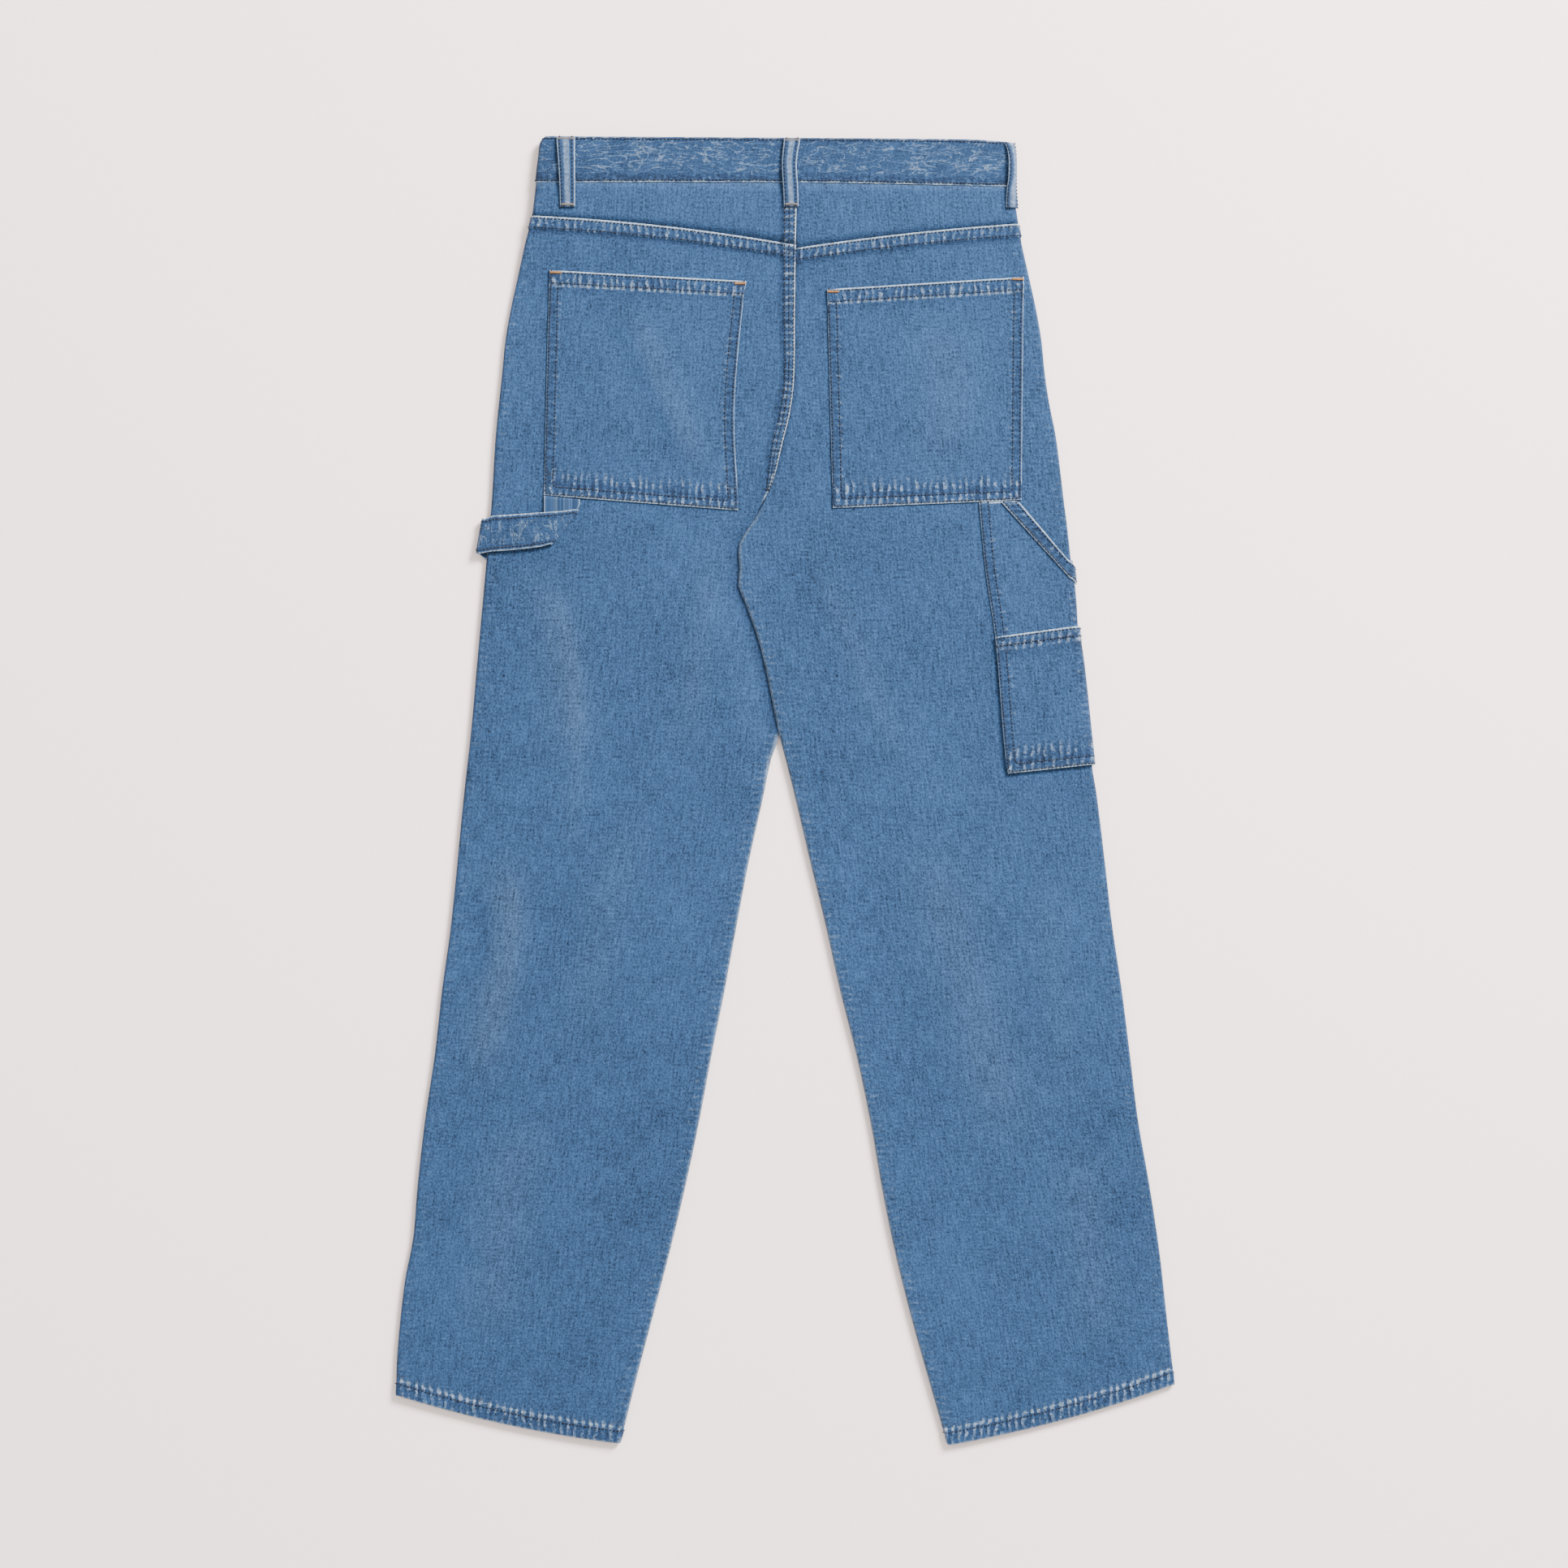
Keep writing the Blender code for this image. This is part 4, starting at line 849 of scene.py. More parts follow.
def patch_shell(name, leg, grid, out, hem, material, cloth, corners=True):
    """Patch on a back panel, from a grid of (reach, down)."""
    patch = Cloth()
    for places in grid:
        patch.new_row()
        width = abs(places[-1][0] - places[0][0])
        for column, (reach, down) in enumerate(places):
            share = column / (len(places) - 1)
            from_top = down - grid[0][min(column, len(grid[0]) - 1)][1]
            from_bottom = grid[-1][min(column, len(grid[-1]) - 1)][1] - down
            fade, pucker, along = patch_look(share, width, from_top, from_bottom, reach, down, hem)
            # Painted light and shade on the folds: lighter on their ridges, darker in their troughs
            fade += FOLD_PAINTED_SHADING * fold_height(leg.folds, reach, down)
            rise = 0.0
            if hem:
                rise = POCKET_HEM_RAISE * (1.0 - ease(from_top, POCKET_HEM - 0.4, POCKET_HEM + 0.4))
            from_edge = min(share * width, from_top, from_bottom)
            if corners:
                from_edge = min(from_edge, (1.0 - share) * width)
            rounding = 0.45 * (1.0 - ease(from_edge, 0.0, 1.3))
            relief = cloth.pucker_height / MILLIMETRE * pucker * ripple(along, 5.5)
            top = back_point(leg, reach, down, out + rise - rounding + relief)
            look = (grain_place(leg, reach, down) + 0.4, -down * MILLIMETRE, fade, pucker, along)
            patch.add(top, back_point(leg, reach, down, out - PATCH_WALL), look)
    return patch.shell(name, material)


def spread_places(length, step, hem=0.0):
    """Places along a length: close at both ends and round a hem's step, then a step apart."""
    places = list(EDGE_PLACES)
    if hem:
        places += [5.0, 7.0, 9.0, hem - 0.6, hem, hem + 0.6, hem + 2.0]
    start = places[-1]
    end = length - EDGE_PLACES[-1]
    count = max(int((end - start) / step), 1)
    places += [blend(start, end, number / count) for number in range(1, count)]
    places += [length - place for place in reversed(EDGE_PLACES)]
    return places


def pocket_grid(leg, top, bottom, inner_line, outer_line):
    """Grid of a back pocket between two rows and two lengthwise lines."""
    height = bottom[0] - top[0]
    grid = []
    for place in spread_places(height, 3.2, POCKET_HEM):
        share = place / height
        row = tuple(blend(top[i], bottom[i], share) for i in range(3))
        flat_start, flat_end, _ = row_ends(leg, row)
        ends = []
        for line in (inner_line, outer_line):
            reach = 100.0
            for _ in range(GUIDE_PASSES):
                reach = between(line, row_down(row, reach, flat_start, flat_end))
            ends.append(reach)
        width = ends[1] - ends[0]
        places = spread_places(width, 1.9)
        reaches = [ends[0] + distance for distance in places]
        grid.append([(reach, row_down(row, reach, flat_start, flat_end)) for reach in reaches])
    count = min(len(places) for places in grid)
    return [resampled(places, count) for places in grid]


def resampled(places, count):
    """A row of places brought to a count of points, its ends kept close."""
    if len(places) == count:
        return places
    head = places[:4]
    tail = places[-4:]
    start = head[-1]
    end = tail[0]
    middle = count - 8
    fill = []
    for number in range(1, middle + 1):
        share = number / (middle + 1)
        fill.append((blend(start[0], end[0], share), blend(start[1], end[1], share)))
    return head + fill + tail


def tool_columns(row):
    """Places of a tool patch's row from its inner side to the side seam."""
    flat_start, flat_end, _ = row_ends(RIGHT_LEG, row)
    reach = 170.0
    for _ in range(GUIDE_PASSES):
        reach = between(TOOL_POCKET_INNER, row_down(row, reach, flat_start, flat_end))
    reaches = [reach + place for place in EDGE_PLACES]
    start = reaches[-1]
    steps = range(1, PLAIN_COLUMNS + 1)
    reaches += [blend(start, flat_end, number / PLAIN_COLUMNS) for number in steps]
    quarter = side_bend(row[0]) * QUARTER
    reaches += [flat_end + quarter * place for place in TURN_PLACES]
    return [(reach, row_down(row, reach, flat_start, flat_end)) for reach in reaches], flat_end


def opening_limit(down):
    """Reach at which the upper patch's slanted edge cuts a depth."""
    (top_down, top_reach), (end_down, end_reach) = OPENING_UPPER_EDGE
    slope = (end_reach - top_reach) / (end_down - top_down)
    return top_reach + slope * (down - top_down) - 1.3


def upper_patch_grid():
    """Grid of the upper patch; rows cut by the slanted opening stop before the side's turn."""
    first = shifted(RIGHT_POCKET_BOTTOM, 0.5)
    rows = [shifted(first, place) for place in (0.0, 0.6, 1.4)]
    rows += rows_from(shifted(first, 2.5), TOOL_TOP, 3.0) + rows_from(TOOL_TOP, TOOL_BOTTOM, 8.0)
    rows += [shifted(TOOL_BOTTOM, -0.6), TOOL_BOTTOM]
    grid = []
    for row in rows:
        places, flat_end = tool_columns(row)
        left_reach, left_down = places[0]
        flat_down = places[-1 - len(TURN_PLACES)][1]
        slope = (flat_down - left_down) / (flat_end - left_reach)
        limit = flat_end
        for _ in range(OPENING_PASSES):
            limit = opening_limit(left_down + slope * (limit - left_reach))
        if limit < flat_end - 1.0:
            share = (limit - left_reach) / (flat_end - left_reach)
            cut = []
            for reach, _ in places[:-len(TURN_PLACES)]:
                cut_reach = blend(left_reach, reach, share)
                cut.append((cut_reach, left_down + slope * (cut_reach - left_reach)))
            places = cut
        grid.append(places)
    return grid


def lower_patch_grid():
    """Grid of the lower patch."""
    height = TOOL_BOTTOM[0] - TOOL_TOP[0]
    grid = []
    for place in spread_places(height, 3.0, TOOL_HEM):
        share = place / height
        row = tuple(blend(TOOL_TOP[i], TOOL_BOTTOM[i], share) for i in range(3))
        grid.append(tool_columns(row)[0])
    return grid


def opening_place(station, share):
    """Reach and depth of a place on the slanted band."""
    upper = [blend(OPENING_UPPER_EDGE[0][i], OPENING_UPPER_EDGE[1][i], station) for i in (0, 1)]
    lower = [blend(OPENING_LOWER_EDGE[0][i], OPENING_LOWER_EDGE[1][i], station) for i in (0, 1)]
    return blend(upper[1], lower[1], share), blend(upper[0], lower[0], share)


def opening_band(material, cloth):
    """Slanted band on the tool pocket's opening."""
    band = Cloth()
    for number in range(OPENING_STEPS + 1):
        station = number / OPENING_STEPS
        along = station * OPENING_LENGTH
        band.new_row()
        for share in (0.0, 0.05, 0.13, 0.3, 0.5, 0.7, 0.87, 0.95, 1.0):
            reach, down = opening_place(station, share)
            edge = min(share, 1.0 - share)
            pucker = hump(share, 0.05, 0.95)
            rise = cloth.pucker_height / MILLIMETRE * pucker * ripple(along, 5.5)
            rise -= 0.45 * (1.0 - ease(edge, 0.0, 0.13))
            fade = 0.8 * (1.0 - ease(edge, 0.0, 0.15)) - 0.2 * pucker
            top = back_point(RIGHT_LEG, reach, down, TOOL_OUT + rise)
            bottom = back_point(RIGHT_LEG, reach, down, TOOL_OUT - PATCH_WALL)
            band.add(top, bottom, (share * 0.01, -down * MILLIMETRE, fade, pucker, along))
    return band.shell("tool_opening_band", material)


def band_down(across, share, under):
    """Depth of a waistband point; the front half dips towards its centre."""
    down = blend(between(BAND_TOP, across), between(BAND_BOTTOM, across), share)
    if under:
        away = abs(across - BAND_FRONT_CENTRE)
        down += BAND_FRONT_DIP * ease(BAND_HALF - away, 0.0, BAND_HALF)
    return down


def band_stations(left, right):
    """Stations round the waist from the left end to the right end."""
    left_flat = left + BAND_BEND
    right_flat = right - BAND_BEND
    turn = [math.pi * step / BAND_TURN_STEPS for step in range(BAND_TURN_STEPS + 1)]
    stations = []
    for step in range(BAND_UNDER_STEPS):
        stations.append(("under", blend(BAND_LEFT_END, left_flat, step / BAND_UNDER_STEPS)))
    stations += [("left turn", angle) for angle in turn]
    for step in range(1, BAND_BACK_STEPS):
        stations.append(("back", blend(left_flat, right_flat, step / BAND_BACK_STEPS)))
    stations += [("right turn", angle) for angle in turn]
    for step in range(1, BAND_OVER_STEPS + 1):
        stations.append(("over", blend(right_flat, BAND_RIGHT_END, step / BAND_OVER_STEPS)))
    return stations


def band_point(part, place, share, left, right, out):
    """Point of the waistband on one of its parts."""
    low = BAND_MIDDLE - BAND_BEND
    if part == "under":
        return (place, band_down(place, share, True), low - out)
    if part == "over":
        start, end = BAND_OVERLAP_RAMP
        lifted = (BAND_WALL + GAP) * (1.0 - ease(place, start, end))
        return (place, band_down(place, share, True), low + lifted - out)
    if part == "back":
        return (place, band_down(place, share, False), BAND_MIDDLE + BAND_BEND + out)
    radius = BAND_BEND + out
    if part == "left turn":
        across = left + BAND_BEND - radius * math.sin(place)
        return (across, band_down(left, share, False), BAND_MIDDLE - radius * math.cos(place))
    across = right - BAND_BEND + radius * math.sin(place)
    return (across, band_down(right, share, False), BAND_MIDDLE + radius * math.cos(place))


def band_sides(share):
    """Left and right side of the waistband at a share of its depth."""
    left = between([(row[0], row[1]) for row in BAND_ROWS], share)
    right = between([(row[0], row[2]) for row in BAND_ROWS], share)
    return left, right


def band_relief(across, share):
    """Small slanted creases of the waistband, in millimetres."""
    slant = across + 34.0 * share
    wave = math.sin(slant / 4.3 + 2.1 * math.sin(slant / 13.0)) * math.sin(across / 17.0 - 3.0 * share)
    return 0.25 * wave * hump(share, 0.04, 0.96)


def waistband_shell(material, cloth):
    """Waistband as one strip round the waist."""
    band = Cloth()
    for share in BAND_SHARES:
        left, right = band_sides(share)
        band.new_row()
        run = 0.0
        before = None
        for part, place in band_stations(left, right):
            edge = 0.4 * (1.0 - ease(share, 0.0, 0.03)) + 0.4 * (1.0 - ease(1.0 - share, 0.0, 0.03))
            spot = band_point(part, place, share, left, right, 0.0)
            relief = band_relief(spot[0], share) if part == "back" else 0.0
            seam = hump(share, 0.8, 1.0) + hump(share, 0.0, 0.12)
            out = relief - edge
            if part == "back":
                out += 0.5 * cloth.pucker_height / MILLIMETRE * seam * ripple(spot[0], 6.3)
            spot = band_point(part, place, share, left, right, out)
            if before:
                run += math.dist(before, spot)
            before = spot
            fade = 0.5 * (1.0 - ease(share, 0.0, 0.05)) + 0.9 * (1.0 - ease(1.0 - share, 0.0, 0.04))
            fade -= 0.3 * hump(share, 0.8, 0.97)
            # The 0.5 * relief term is painted light and shade on the band's small creases: lighter on their
            # ridges, darker in their troughs
            fade += 0.5 * relief - 0.08
            look = (run * MILLIMETRE, -share * 0.04 + 0.2, fade, 0.8 * seam, spot[0])
            band.add(spot, band_point(part, place, share, left, right, -BAND_WALL + 0.2), look)
    return band.shell("waist_strip", material)


def loop_rows(table):
    """Rows of a belt loop's table, filled in closely."""
    columns = len(table[0])
    rows = []
    first = table[0][0]
    last = table[-1][0]
    for number in range(LOOP_STEPS_DOWN + 1):
        down = blend(first, last, number / LOOP_STEPS_DOWN)
        rows.append([down] + [between([(row[0], row[i]) for row in table], down) for i in range(1, columns)])
    return rows


def loop_look(share, run):
    """Fade and pucker of a belt loop: pale middle, dark rims."""
    edge = min(share, 1.0 - share)
    middle = hump(share, 0.2, 0.8)
    fade = 0.32 * middle - 0.5 * hump(edge, 0.06, 0.3)
    fade += 0.8 * (1.0 - ease(edge, 0.0, 0.08))
    return (share * 0.013, -run * MILLIMETRE, fade, 0.25 * middle, run)


def loop_section(share):
    """Rounding of a belt loop's face across its width."""
    return 0.3 * hump(share, 0.0, 1.0) - 0.35 * (1.0 - ease(min(share, 1.0 - share), 0.0, 0.1))


def yoke_top(seam):
    """Height of the yoke's outer face, with a seam's rise on it."""
    return WAIST_LIFT + TUBE_HEIGHT + WAIST_EXTRA + seam


def loop_base(down, seam, arch):
    """Height of the inner face of a belt loop on the back."""
    highest = max(BAND_MIDDLE + BAND_BEND, yoke_top(seam))
    return blend(highest, yoke_top(seam), ease(down, *LOOP_LEAVES_BAND)) + GAP + max(arch, 0.0)


def back_loop_shell(name, table, seam, material):
    """Belt loop on the back of the waistband and on the yoke."""
    loop = Cloth()
    for down, left, right, arch in loop_rows(table):
        base = loop_base(down, seam, arch)
        loop.new_row()
        for share in LOOP_SHARES:
            across = blend(left, right, share)
            top = base + LOOP_WALL - 0.2 + loop_section(share)
            loop.add((across, down, top), (across, down, base), loop_look(share, down))
    return loop.shell(name, material)


def side_loop_point(row, share, out):
    """Point of the side's belt loop on a row, at a share of its width."""
    down, centre, radius, flat, end_angle = row
    run = share * (flat + radius * math.radians(end_angle))
    if run < flat:
        return (centre - flat + run, down, BAND_MIDDLE + radius + out)
    angle = (run - flat) / radius
    across = centre + (radius + out) * math.sin(angle)
    return (across, down, BAND_MIDDLE + (radius + out) * math.cos(angle))


def side_loop_shell(material):
    """Belt loop that turns round the right side of the waist."""
    loop = Cloth()
    for row in loop_rows(BACK_RIGHT_LOOP):
        loop.new_row()
        for number in range(SIDE_LOOP_STEPS + 1):
            share = number / SIDE_LOOP_STEPS
            top = side_loop_point(row, share, LOOP_WALL - 0.2 + loop_section(share))
            loop.add(top, side_loop_point(row, share, 0.0), loop_look(share, row[0]))
    return loop.shell("side_loop", material)


def front_loop_shell(name, across, material):
    """Belt loop under the front of the waistband."""
    top = BAND_MIDDLE - BAND_BEND - GAP
    loop = Cloth()
    for down, arch in loop_rows(FRONT_LOOP):
        loop.new_row()
        for share in LOOP_SHARES:
            place = across + FRONT_LOOP_WIDTH * (share - 0.5)
            low = top - arch - LOOP_WALL + 0.2 - loop_section(share) * 0.5
            loop.add((place, down, low), (place, down, top - arch), loop_look(share, down))
    return loop.shell(name, material)


def strap_surface(across, down):
    """Height of the left back's outer face, also past its side seam."""
    reach = min(-across, between(LEFT_SIDE, down) - side_bend(down))
    return back_height(LEFT_LEG, reach, down)


def fold_rows(edge, low, radius, towards_low, steps=10):
    """Rows round a fold's bend; edge is its outermost line and low its lower layer's height."""
    upper_across, upper_down, lower_across, lower_down = edge
    along = (lower_across - upper_across, lower_down - upper_down)
    length = math.hypot(*along)
    sign = -1.0 if towards_low else 1.0
    normal = (sign * along[1] / length, -sign * along[0] / length)
    rows = []
    reach_out = radius + STRAP_WALL / 2.0
    for step in range(steps + 1):
        angle = sign * (math.pi * step / steps - math.pi / 2.0)
        shift = radius * math.cos(angle) - reach_out
        height = low + radius + radius * math.sin(angle)
        rows.append((
            (upper_across + normal[0] * shift, upper_down + normal[1] * shift, height),
            (lower_across + normal[0] * shift, lower_down + normal[1] * shift, height),
            (normal[0] * math.cos(angle), normal[1] * math.cos(angle), math.sin(angle)),
        ))
    return rows


def strap_flat_rows(table, direction):
    """Flat rows of the hammer loop on the leg."""
    rows = []
    for upper_across, upper_down, lower_across, lower_down, lift in table:
        upper = (upper_across, upper_down, strap_surface(upper_across, upper_down) + lift)
        lower = (lower_across, lower_down, strap_surface(lower_across, lower_down) + lift)
        rows.append((upper, lower, direction))
    return rows


def filled_rows(rows, count):
    """Rows with even ones filled in between each pair."""
    result = []
    for first, last in zip(rows, rows[1:]):
        for step in range(count):
            share = step / count
            result.append(tuple(
                tuple(blend(first[part][i], last[part][i], share) for i in range(3))
                for part in range(3)
            ))
    result.append(rows[-1])
    return result


def strap_rows():
    """Rows of the hammer loop: both edges of its middle surface and the way its outer face looks."""
    under = strap_flat_rows(STRAP_UNDER, (0.0, 0.0, -1.0))
    low = strap_surface(FIRST_FOLD[0], FIRST_FOLD[1]) + STRAP_UNDER[-1][4]
    first = fold_rows(FIRST_FOLD, low, FIRST_BEND, False)
    over = strap_flat_rows(STRAP_OVER, (0.0, 0.0, 1.0))
    second = fold_rows(SECOND_FOLD, RETURN_HEIGHT, SECOND_BEND, True)
    ends = []
    for place in second[-1][:2]:
        down = place[1] + STRAP_RETURN_DOWN
        ends.append((-between(LEFT_SIDE, down) - GAP, down, RETURN_HEIGHT))
    last = (ends[0], ends[1], (0.0, 0.0, -1.0))
    rows = filled_rows(under + [first[0]], 4)[:-1] + first[:-1]
    rows += filled_rows([first[-1]] + over + [second[0]], 7)[:-1]
    rows += second[:-1] + filled_rows([second[-1], last], 4)
    return rows


def strap_shell(material):
    """Hammer loop, folded over, with soft wrinkles where it crosses the leg."""
    strap = Cloth()
    for upper, lower, direction in strap_rows():
        strap.new_row()
        for share in STRAP_SHARES:
            middle = [blend(upper[i], lower[i], share) for i in range(3)]
            edge = min(share, 1.0 - share)
            slant = middle[0] + 0.9 * middle[1]
            wrinkle = 0.45 * math.sin(slant / 3.6) * hump(share, 0.05, 0.95) * max(direction[2], 0.0)
            reach = STRAP_WALL / 2.0 - 0.35 * (1.0 - ease(edge, 0.0, 0.05)) + wrinkle
            top = tuple(middle[i] + direction[i] * reach for i in range(3))
            bottom = tuple(middle[i] - direction[i] * STRAP_WALL / 2.0 for i in range(3))
            # The 0.2 * wrinkle term is painted light and shade on the wrinkles: lighter on their ridges,
            # darker in their troughs
            fade = 0.8 * (1.0 - ease(edge, 0.0, 0.06)) - 0.35 * hump(edge, 0.04, 0.2) + 0.2 * wrinkle
            pucker = 0.4 * hump(edge, 0.02, 0.3)
            strap.add(top, bottom, (share * 0.03, middle[0] * MILLIMETRE, fade, pucker, middle[0]))
    return strap.shell("strap", material)


def mixed(tree, first, second, factor, kind="MIX"):
    """Mix Color node between two colours or sockets."""
    node = tree.nodes.new("ShaderNodeMix")
    node.data_type = "RGBA"
    node.blend_type = kind
    node.clamp_factor = True
    for socket, value in ((node.inputs[6], first), (node.inputs[7], second), (node.inputs[0], factor)):
        connect(tree, value, socket)
    return node.outputs[2]


def math_node(tree, operation, *values):
    """Math node fed by numbers or sockets."""
    node = tree.nodes.new("ShaderNodeMath")
    node.operation = operation
    for socket, value in zip(node.inputs, values):
        connect(tree, value, socket)
    return node.outputs[0]


def connect(tree, value, socket):
    """Feed a socket from another socket, or set its number or colour."""
    if isinstance(value, bpy.types.NodeSocket):
        tree.links.new(value, socket)
    elif isinstance(value, (tuple, list)):
        socket.default_value = tuple(value) + (1.0,) if len(value) == 3 else tuple(value)
    else:
        socket.default_value = value


def noise(tree, vector, scale, detail, roughness=0.55):
    """Noise texture's value."""
    node = tree.nodes.new("ShaderNodeTexNoise")
    node.inputs["Scale"].default_value = scale
    node.inputs["Detail"].default_value = detail
    node.inputs["Roughness"].default_value = roughness
    tree.links.new(vector, node.inputs["Vector"])
    return node.outputs["Fac"]


def stretched(tree, vector, scale):
    """Vector scaled by its axes."""
    node = tree.nodes.new("ShaderNodeVectorMath")
    node.operation = "MULTIPLY"
    tree.links.new(vector, node.inputs[0])
    node.inputs[1].default_value = scale
    return node.outputs[0]


def spread(tree, value, low, high, to_low, to_high):
    """Map Range node, clamped."""
    node = tree.nodes.new("ShaderNodeMapRange")
    tree.links.new(value, node.inputs["Value"])
    node.inputs["From Min"].default_value = low
    node.inputs["From Max"].default_value = high
    node.inputs["To Min"].default_value = to_low
    node.inputs["To Max"].default_value = to_high
    return node.outputs["Result"]


def crease_lines(tree, uv):
    """Thin pale lines on a slant, with darker cloth between them."""
    slanted = tree.nodes.new("ShaderNodeMapping")
    slanted.inputs["Rotation"].default_value = (0.0, 0.0, math.radians(-28.0))
    slanted.inputs["Scale"].default_value = (60.0, 190.0, 1.0)
    tree.links.new(uv, slanted.inputs["Vector"])
    node = tree.nodes.new("ShaderNodeTexNoise")
    node.inputs["Scale"].default_value = 1.0
    node.inputs["Detail"].default_value = 2.0
    node.inputs["Distortion"].default_value = 1.0
    tree.links.new(slanted.outputs["Vector"], node.inputs["Vector"])
    away = math_node(tree, "ABSOLUTE", math_node(tree, "SUBTRACT", node.outputs["Fac"], 0.5))
    return spread(tree, away, 0.0, 0.075, 0.8, -0.75)


def denim_group():
    """Shader node group of washed denim: weave, slubs, clouds, faded ripples and edges, and the painted shade
    and painted light carried in the seam attribute's fade.
    """
    group = bpy.data.node_groups.get("Washed Denim")
    if group:
        return group
    group = bpy.data.node_groups.new("Washed Denim", "ShaderNodeTree")
    colours = ("Denim", "Faded And Painted Light", "Deep")
    for name in colours:
        group.interface.new_socket(name=name, in_out="INPUT", socket_type="NodeSocketColor")
    for name, value in (("Speckle", 0.35), ("Ripple", 0.55), ("Creases", 0.0)):
        socket = group.interface.new_socket(name=name, in_out="INPUT", socket_type="NodeSocketFloat")
        socket.default_value = value
    group.interface.new_socket(name="Colour", in_out="OUTPUT", socket_type="NodeSocketColor")
    group.interface.new_socket(name="Roughness", in_out="OUTPUT", socket_type="NodeSocketFloat")
    group.interface.new_socket(name="Height", in_out="OUTPUT", socket_type="NodeSocketFloat")
    given = group.nodes.new("NodeGroupInput")
    result = group.nodes.new("NodeGroupOutput")
    cloth_map = group.nodes.new("ShaderNodeUVMap")
    cloth_map.uv_map = "Cloth"
    seam = group.nodes.new("ShaderNodeAttribute")
    seam.attribute_name = "seam"
    parts = group.nodes.new("ShaderNodeSeparateXYZ")
    group.links.new(seam.outputs["Vector"], parts.inputs[0])
    fade, pucker, along = parts.outputs
    uv = cloth_map.outputs["UV"]

    def total(first, second):
        return math_node(group, "ADD", first, second)

    def product(first, second):
        return math_node(group, "MULTIPLY", first, second)

    def cloth_noise(scale, detail, roughness=0.55):
        return noise(group, stretched(group, uv, scale + (1.0,)), 1.0, detail, roughness)

    speckle = cloth_noise((640.0, 480.0), 3.0, 0.75)
    slub = cloth_noise((520.0, 60.0), 2.0)
    cross = cloth_noise((90.0, 500.0), 2.0)
    cloud = noise(group, uv, 22.0, 3.0)
    broad = noise(group, uv, 6.0, 2.0)

    grain = total(spread(group, speckle, 0.3, 0.7, -0.5, 0.6), spread(group, slub, 0.3, 0.7, -0.2, 0.24))
    grain = total(grain, spread(group, cross, 0.3, 0.7, -0.14, 0.14))
    grain = product(grain, given.outputs["Speckle"])
    grain = total(grain, spread(group, cloud, 0.3, 0.7, -0.12, 0.12))
    grain = total(grain, spread(group, broad, 0.3, 0.7, -0.10, 0.10))

    jitter = spread(group, cloth_noise((60.0, 60.0), 2.0), 0.2, 0.8, -3.0, 3.0)
    wave = math_node(group, "SINE", total(product(along, 1.06), jitter))
    wave = product(spread(group, wave, -0.6, 0.6, -1.0, 1.0), pucker)
    patchy = spread(group, cloth_noise((140.0, 140.0), 2.0), 0.35, 0.6, 0.25, 1.0)
    wave = product(wave, patchy)
    tone = product(wave, given.outputs["Ripple"])
    # Fade lightens or darkens the cloth: worn edges, with painted shade and painted light mixed in
    tone = total(tone, product(fade, 0.8))
    tone = math_node(group, "SUBTRACT", tone, product(pucker, 0.14))

    share = total(given.outputs["Creases"], product(pucker, 0.14))
    lines = product(crease_lines(group, uv), share)
    tone = total(tone, lines)

    lighter = math_node(group, "MAXIMUM", tone, 0.0)
    darker = math_node(group, "MAXIMUM", product(tone, -1.0), 0.0)
    colour = mixed(group, given.outputs["Denim"], given.outputs["Faded And Painted Light"], lighter)
    colour = mixed(group, colour, given.outputs["Deep"], darker)
    scaled = group.nodes.new("ShaderNodeVectorMath")
    scaled.operation = "SCALE"
    group.links.new(colour, scaled.inputs[0])
    group.links.new(total(grain, 1.0), scaled.inputs["Scale"])
    group.links.new(scaled.outputs[0], result.inputs["Colour"])
    group.links.new(spread(group, speckle, 0.2, 0.8, 0.95, 0.8), result.inputs["Roughness"])
    height = total(total(product(grain, 0.5), product(wave, 0.9)), lines)
    group.links.new(height, result.inputs["Height"])
    return group


def denim_material(name, cloth, speckle=1.4, ripple_share=0.4, creases=0.0):
    """Denim with the shared group's colours and relief."""
    material = bpy.data.materials.get(name)
    if material:
        return material
    material = bpy.data.materials.new(name)
    material.use_nodes = True
    tree = material.node_tree
    shader = tree.nodes["Principled BSDF"]
    cloth_nodes = tree.nodes.new("ShaderNodeGroup")
    cloth_nodes.node_tree = denim_group()
    cloth_nodes.inputs["Denim"].default_value = tuple(cloth.denim_colour) + (1.0,)
    cloth_nodes.inputs["Faded And Painted Light"].default_value = tuple(cloth.faded_and_painted_light_colour) + (1.0,)
    cloth_nodes.inputs["Deep"].default_value = tuple(cloth.deep_and_painted_shade_colour) + (1.0,)
    cloth_nodes.inputs["Speckle"].default_value = speckle
    cloth_nodes.inputs["Ripple"].default_value = ripple_share
    cloth_nodes.inputs["Creases"].default_value = creases
    tree.links.new(cloth_nodes.outputs["Colour"], shader.inputs["Base Color"])
    tree.links.new(cloth_nodes.outputs["Roughness"], shader.inputs["Roughness"])
    bump = tree.nodes.new("ShaderNodeBump")
    bump.inputs["Strength"].default_value = 0.6
    bump.inputs["Distance"].default_value = 0.0006
    tree.links.new(cloth_nodes.outputs["Height"], bump.inputs["Height"])
    tree.links.new(bump.outputs["Normal"], shader.inputs["Normal"])
    shader.inputs["Specular IOR Level"].default_value = 0.15
    shader.inputs["Sheen Weight"].default_value = 0.08
    shader.inputs["Sheen Roughness"].default_value = 0.5
    return material


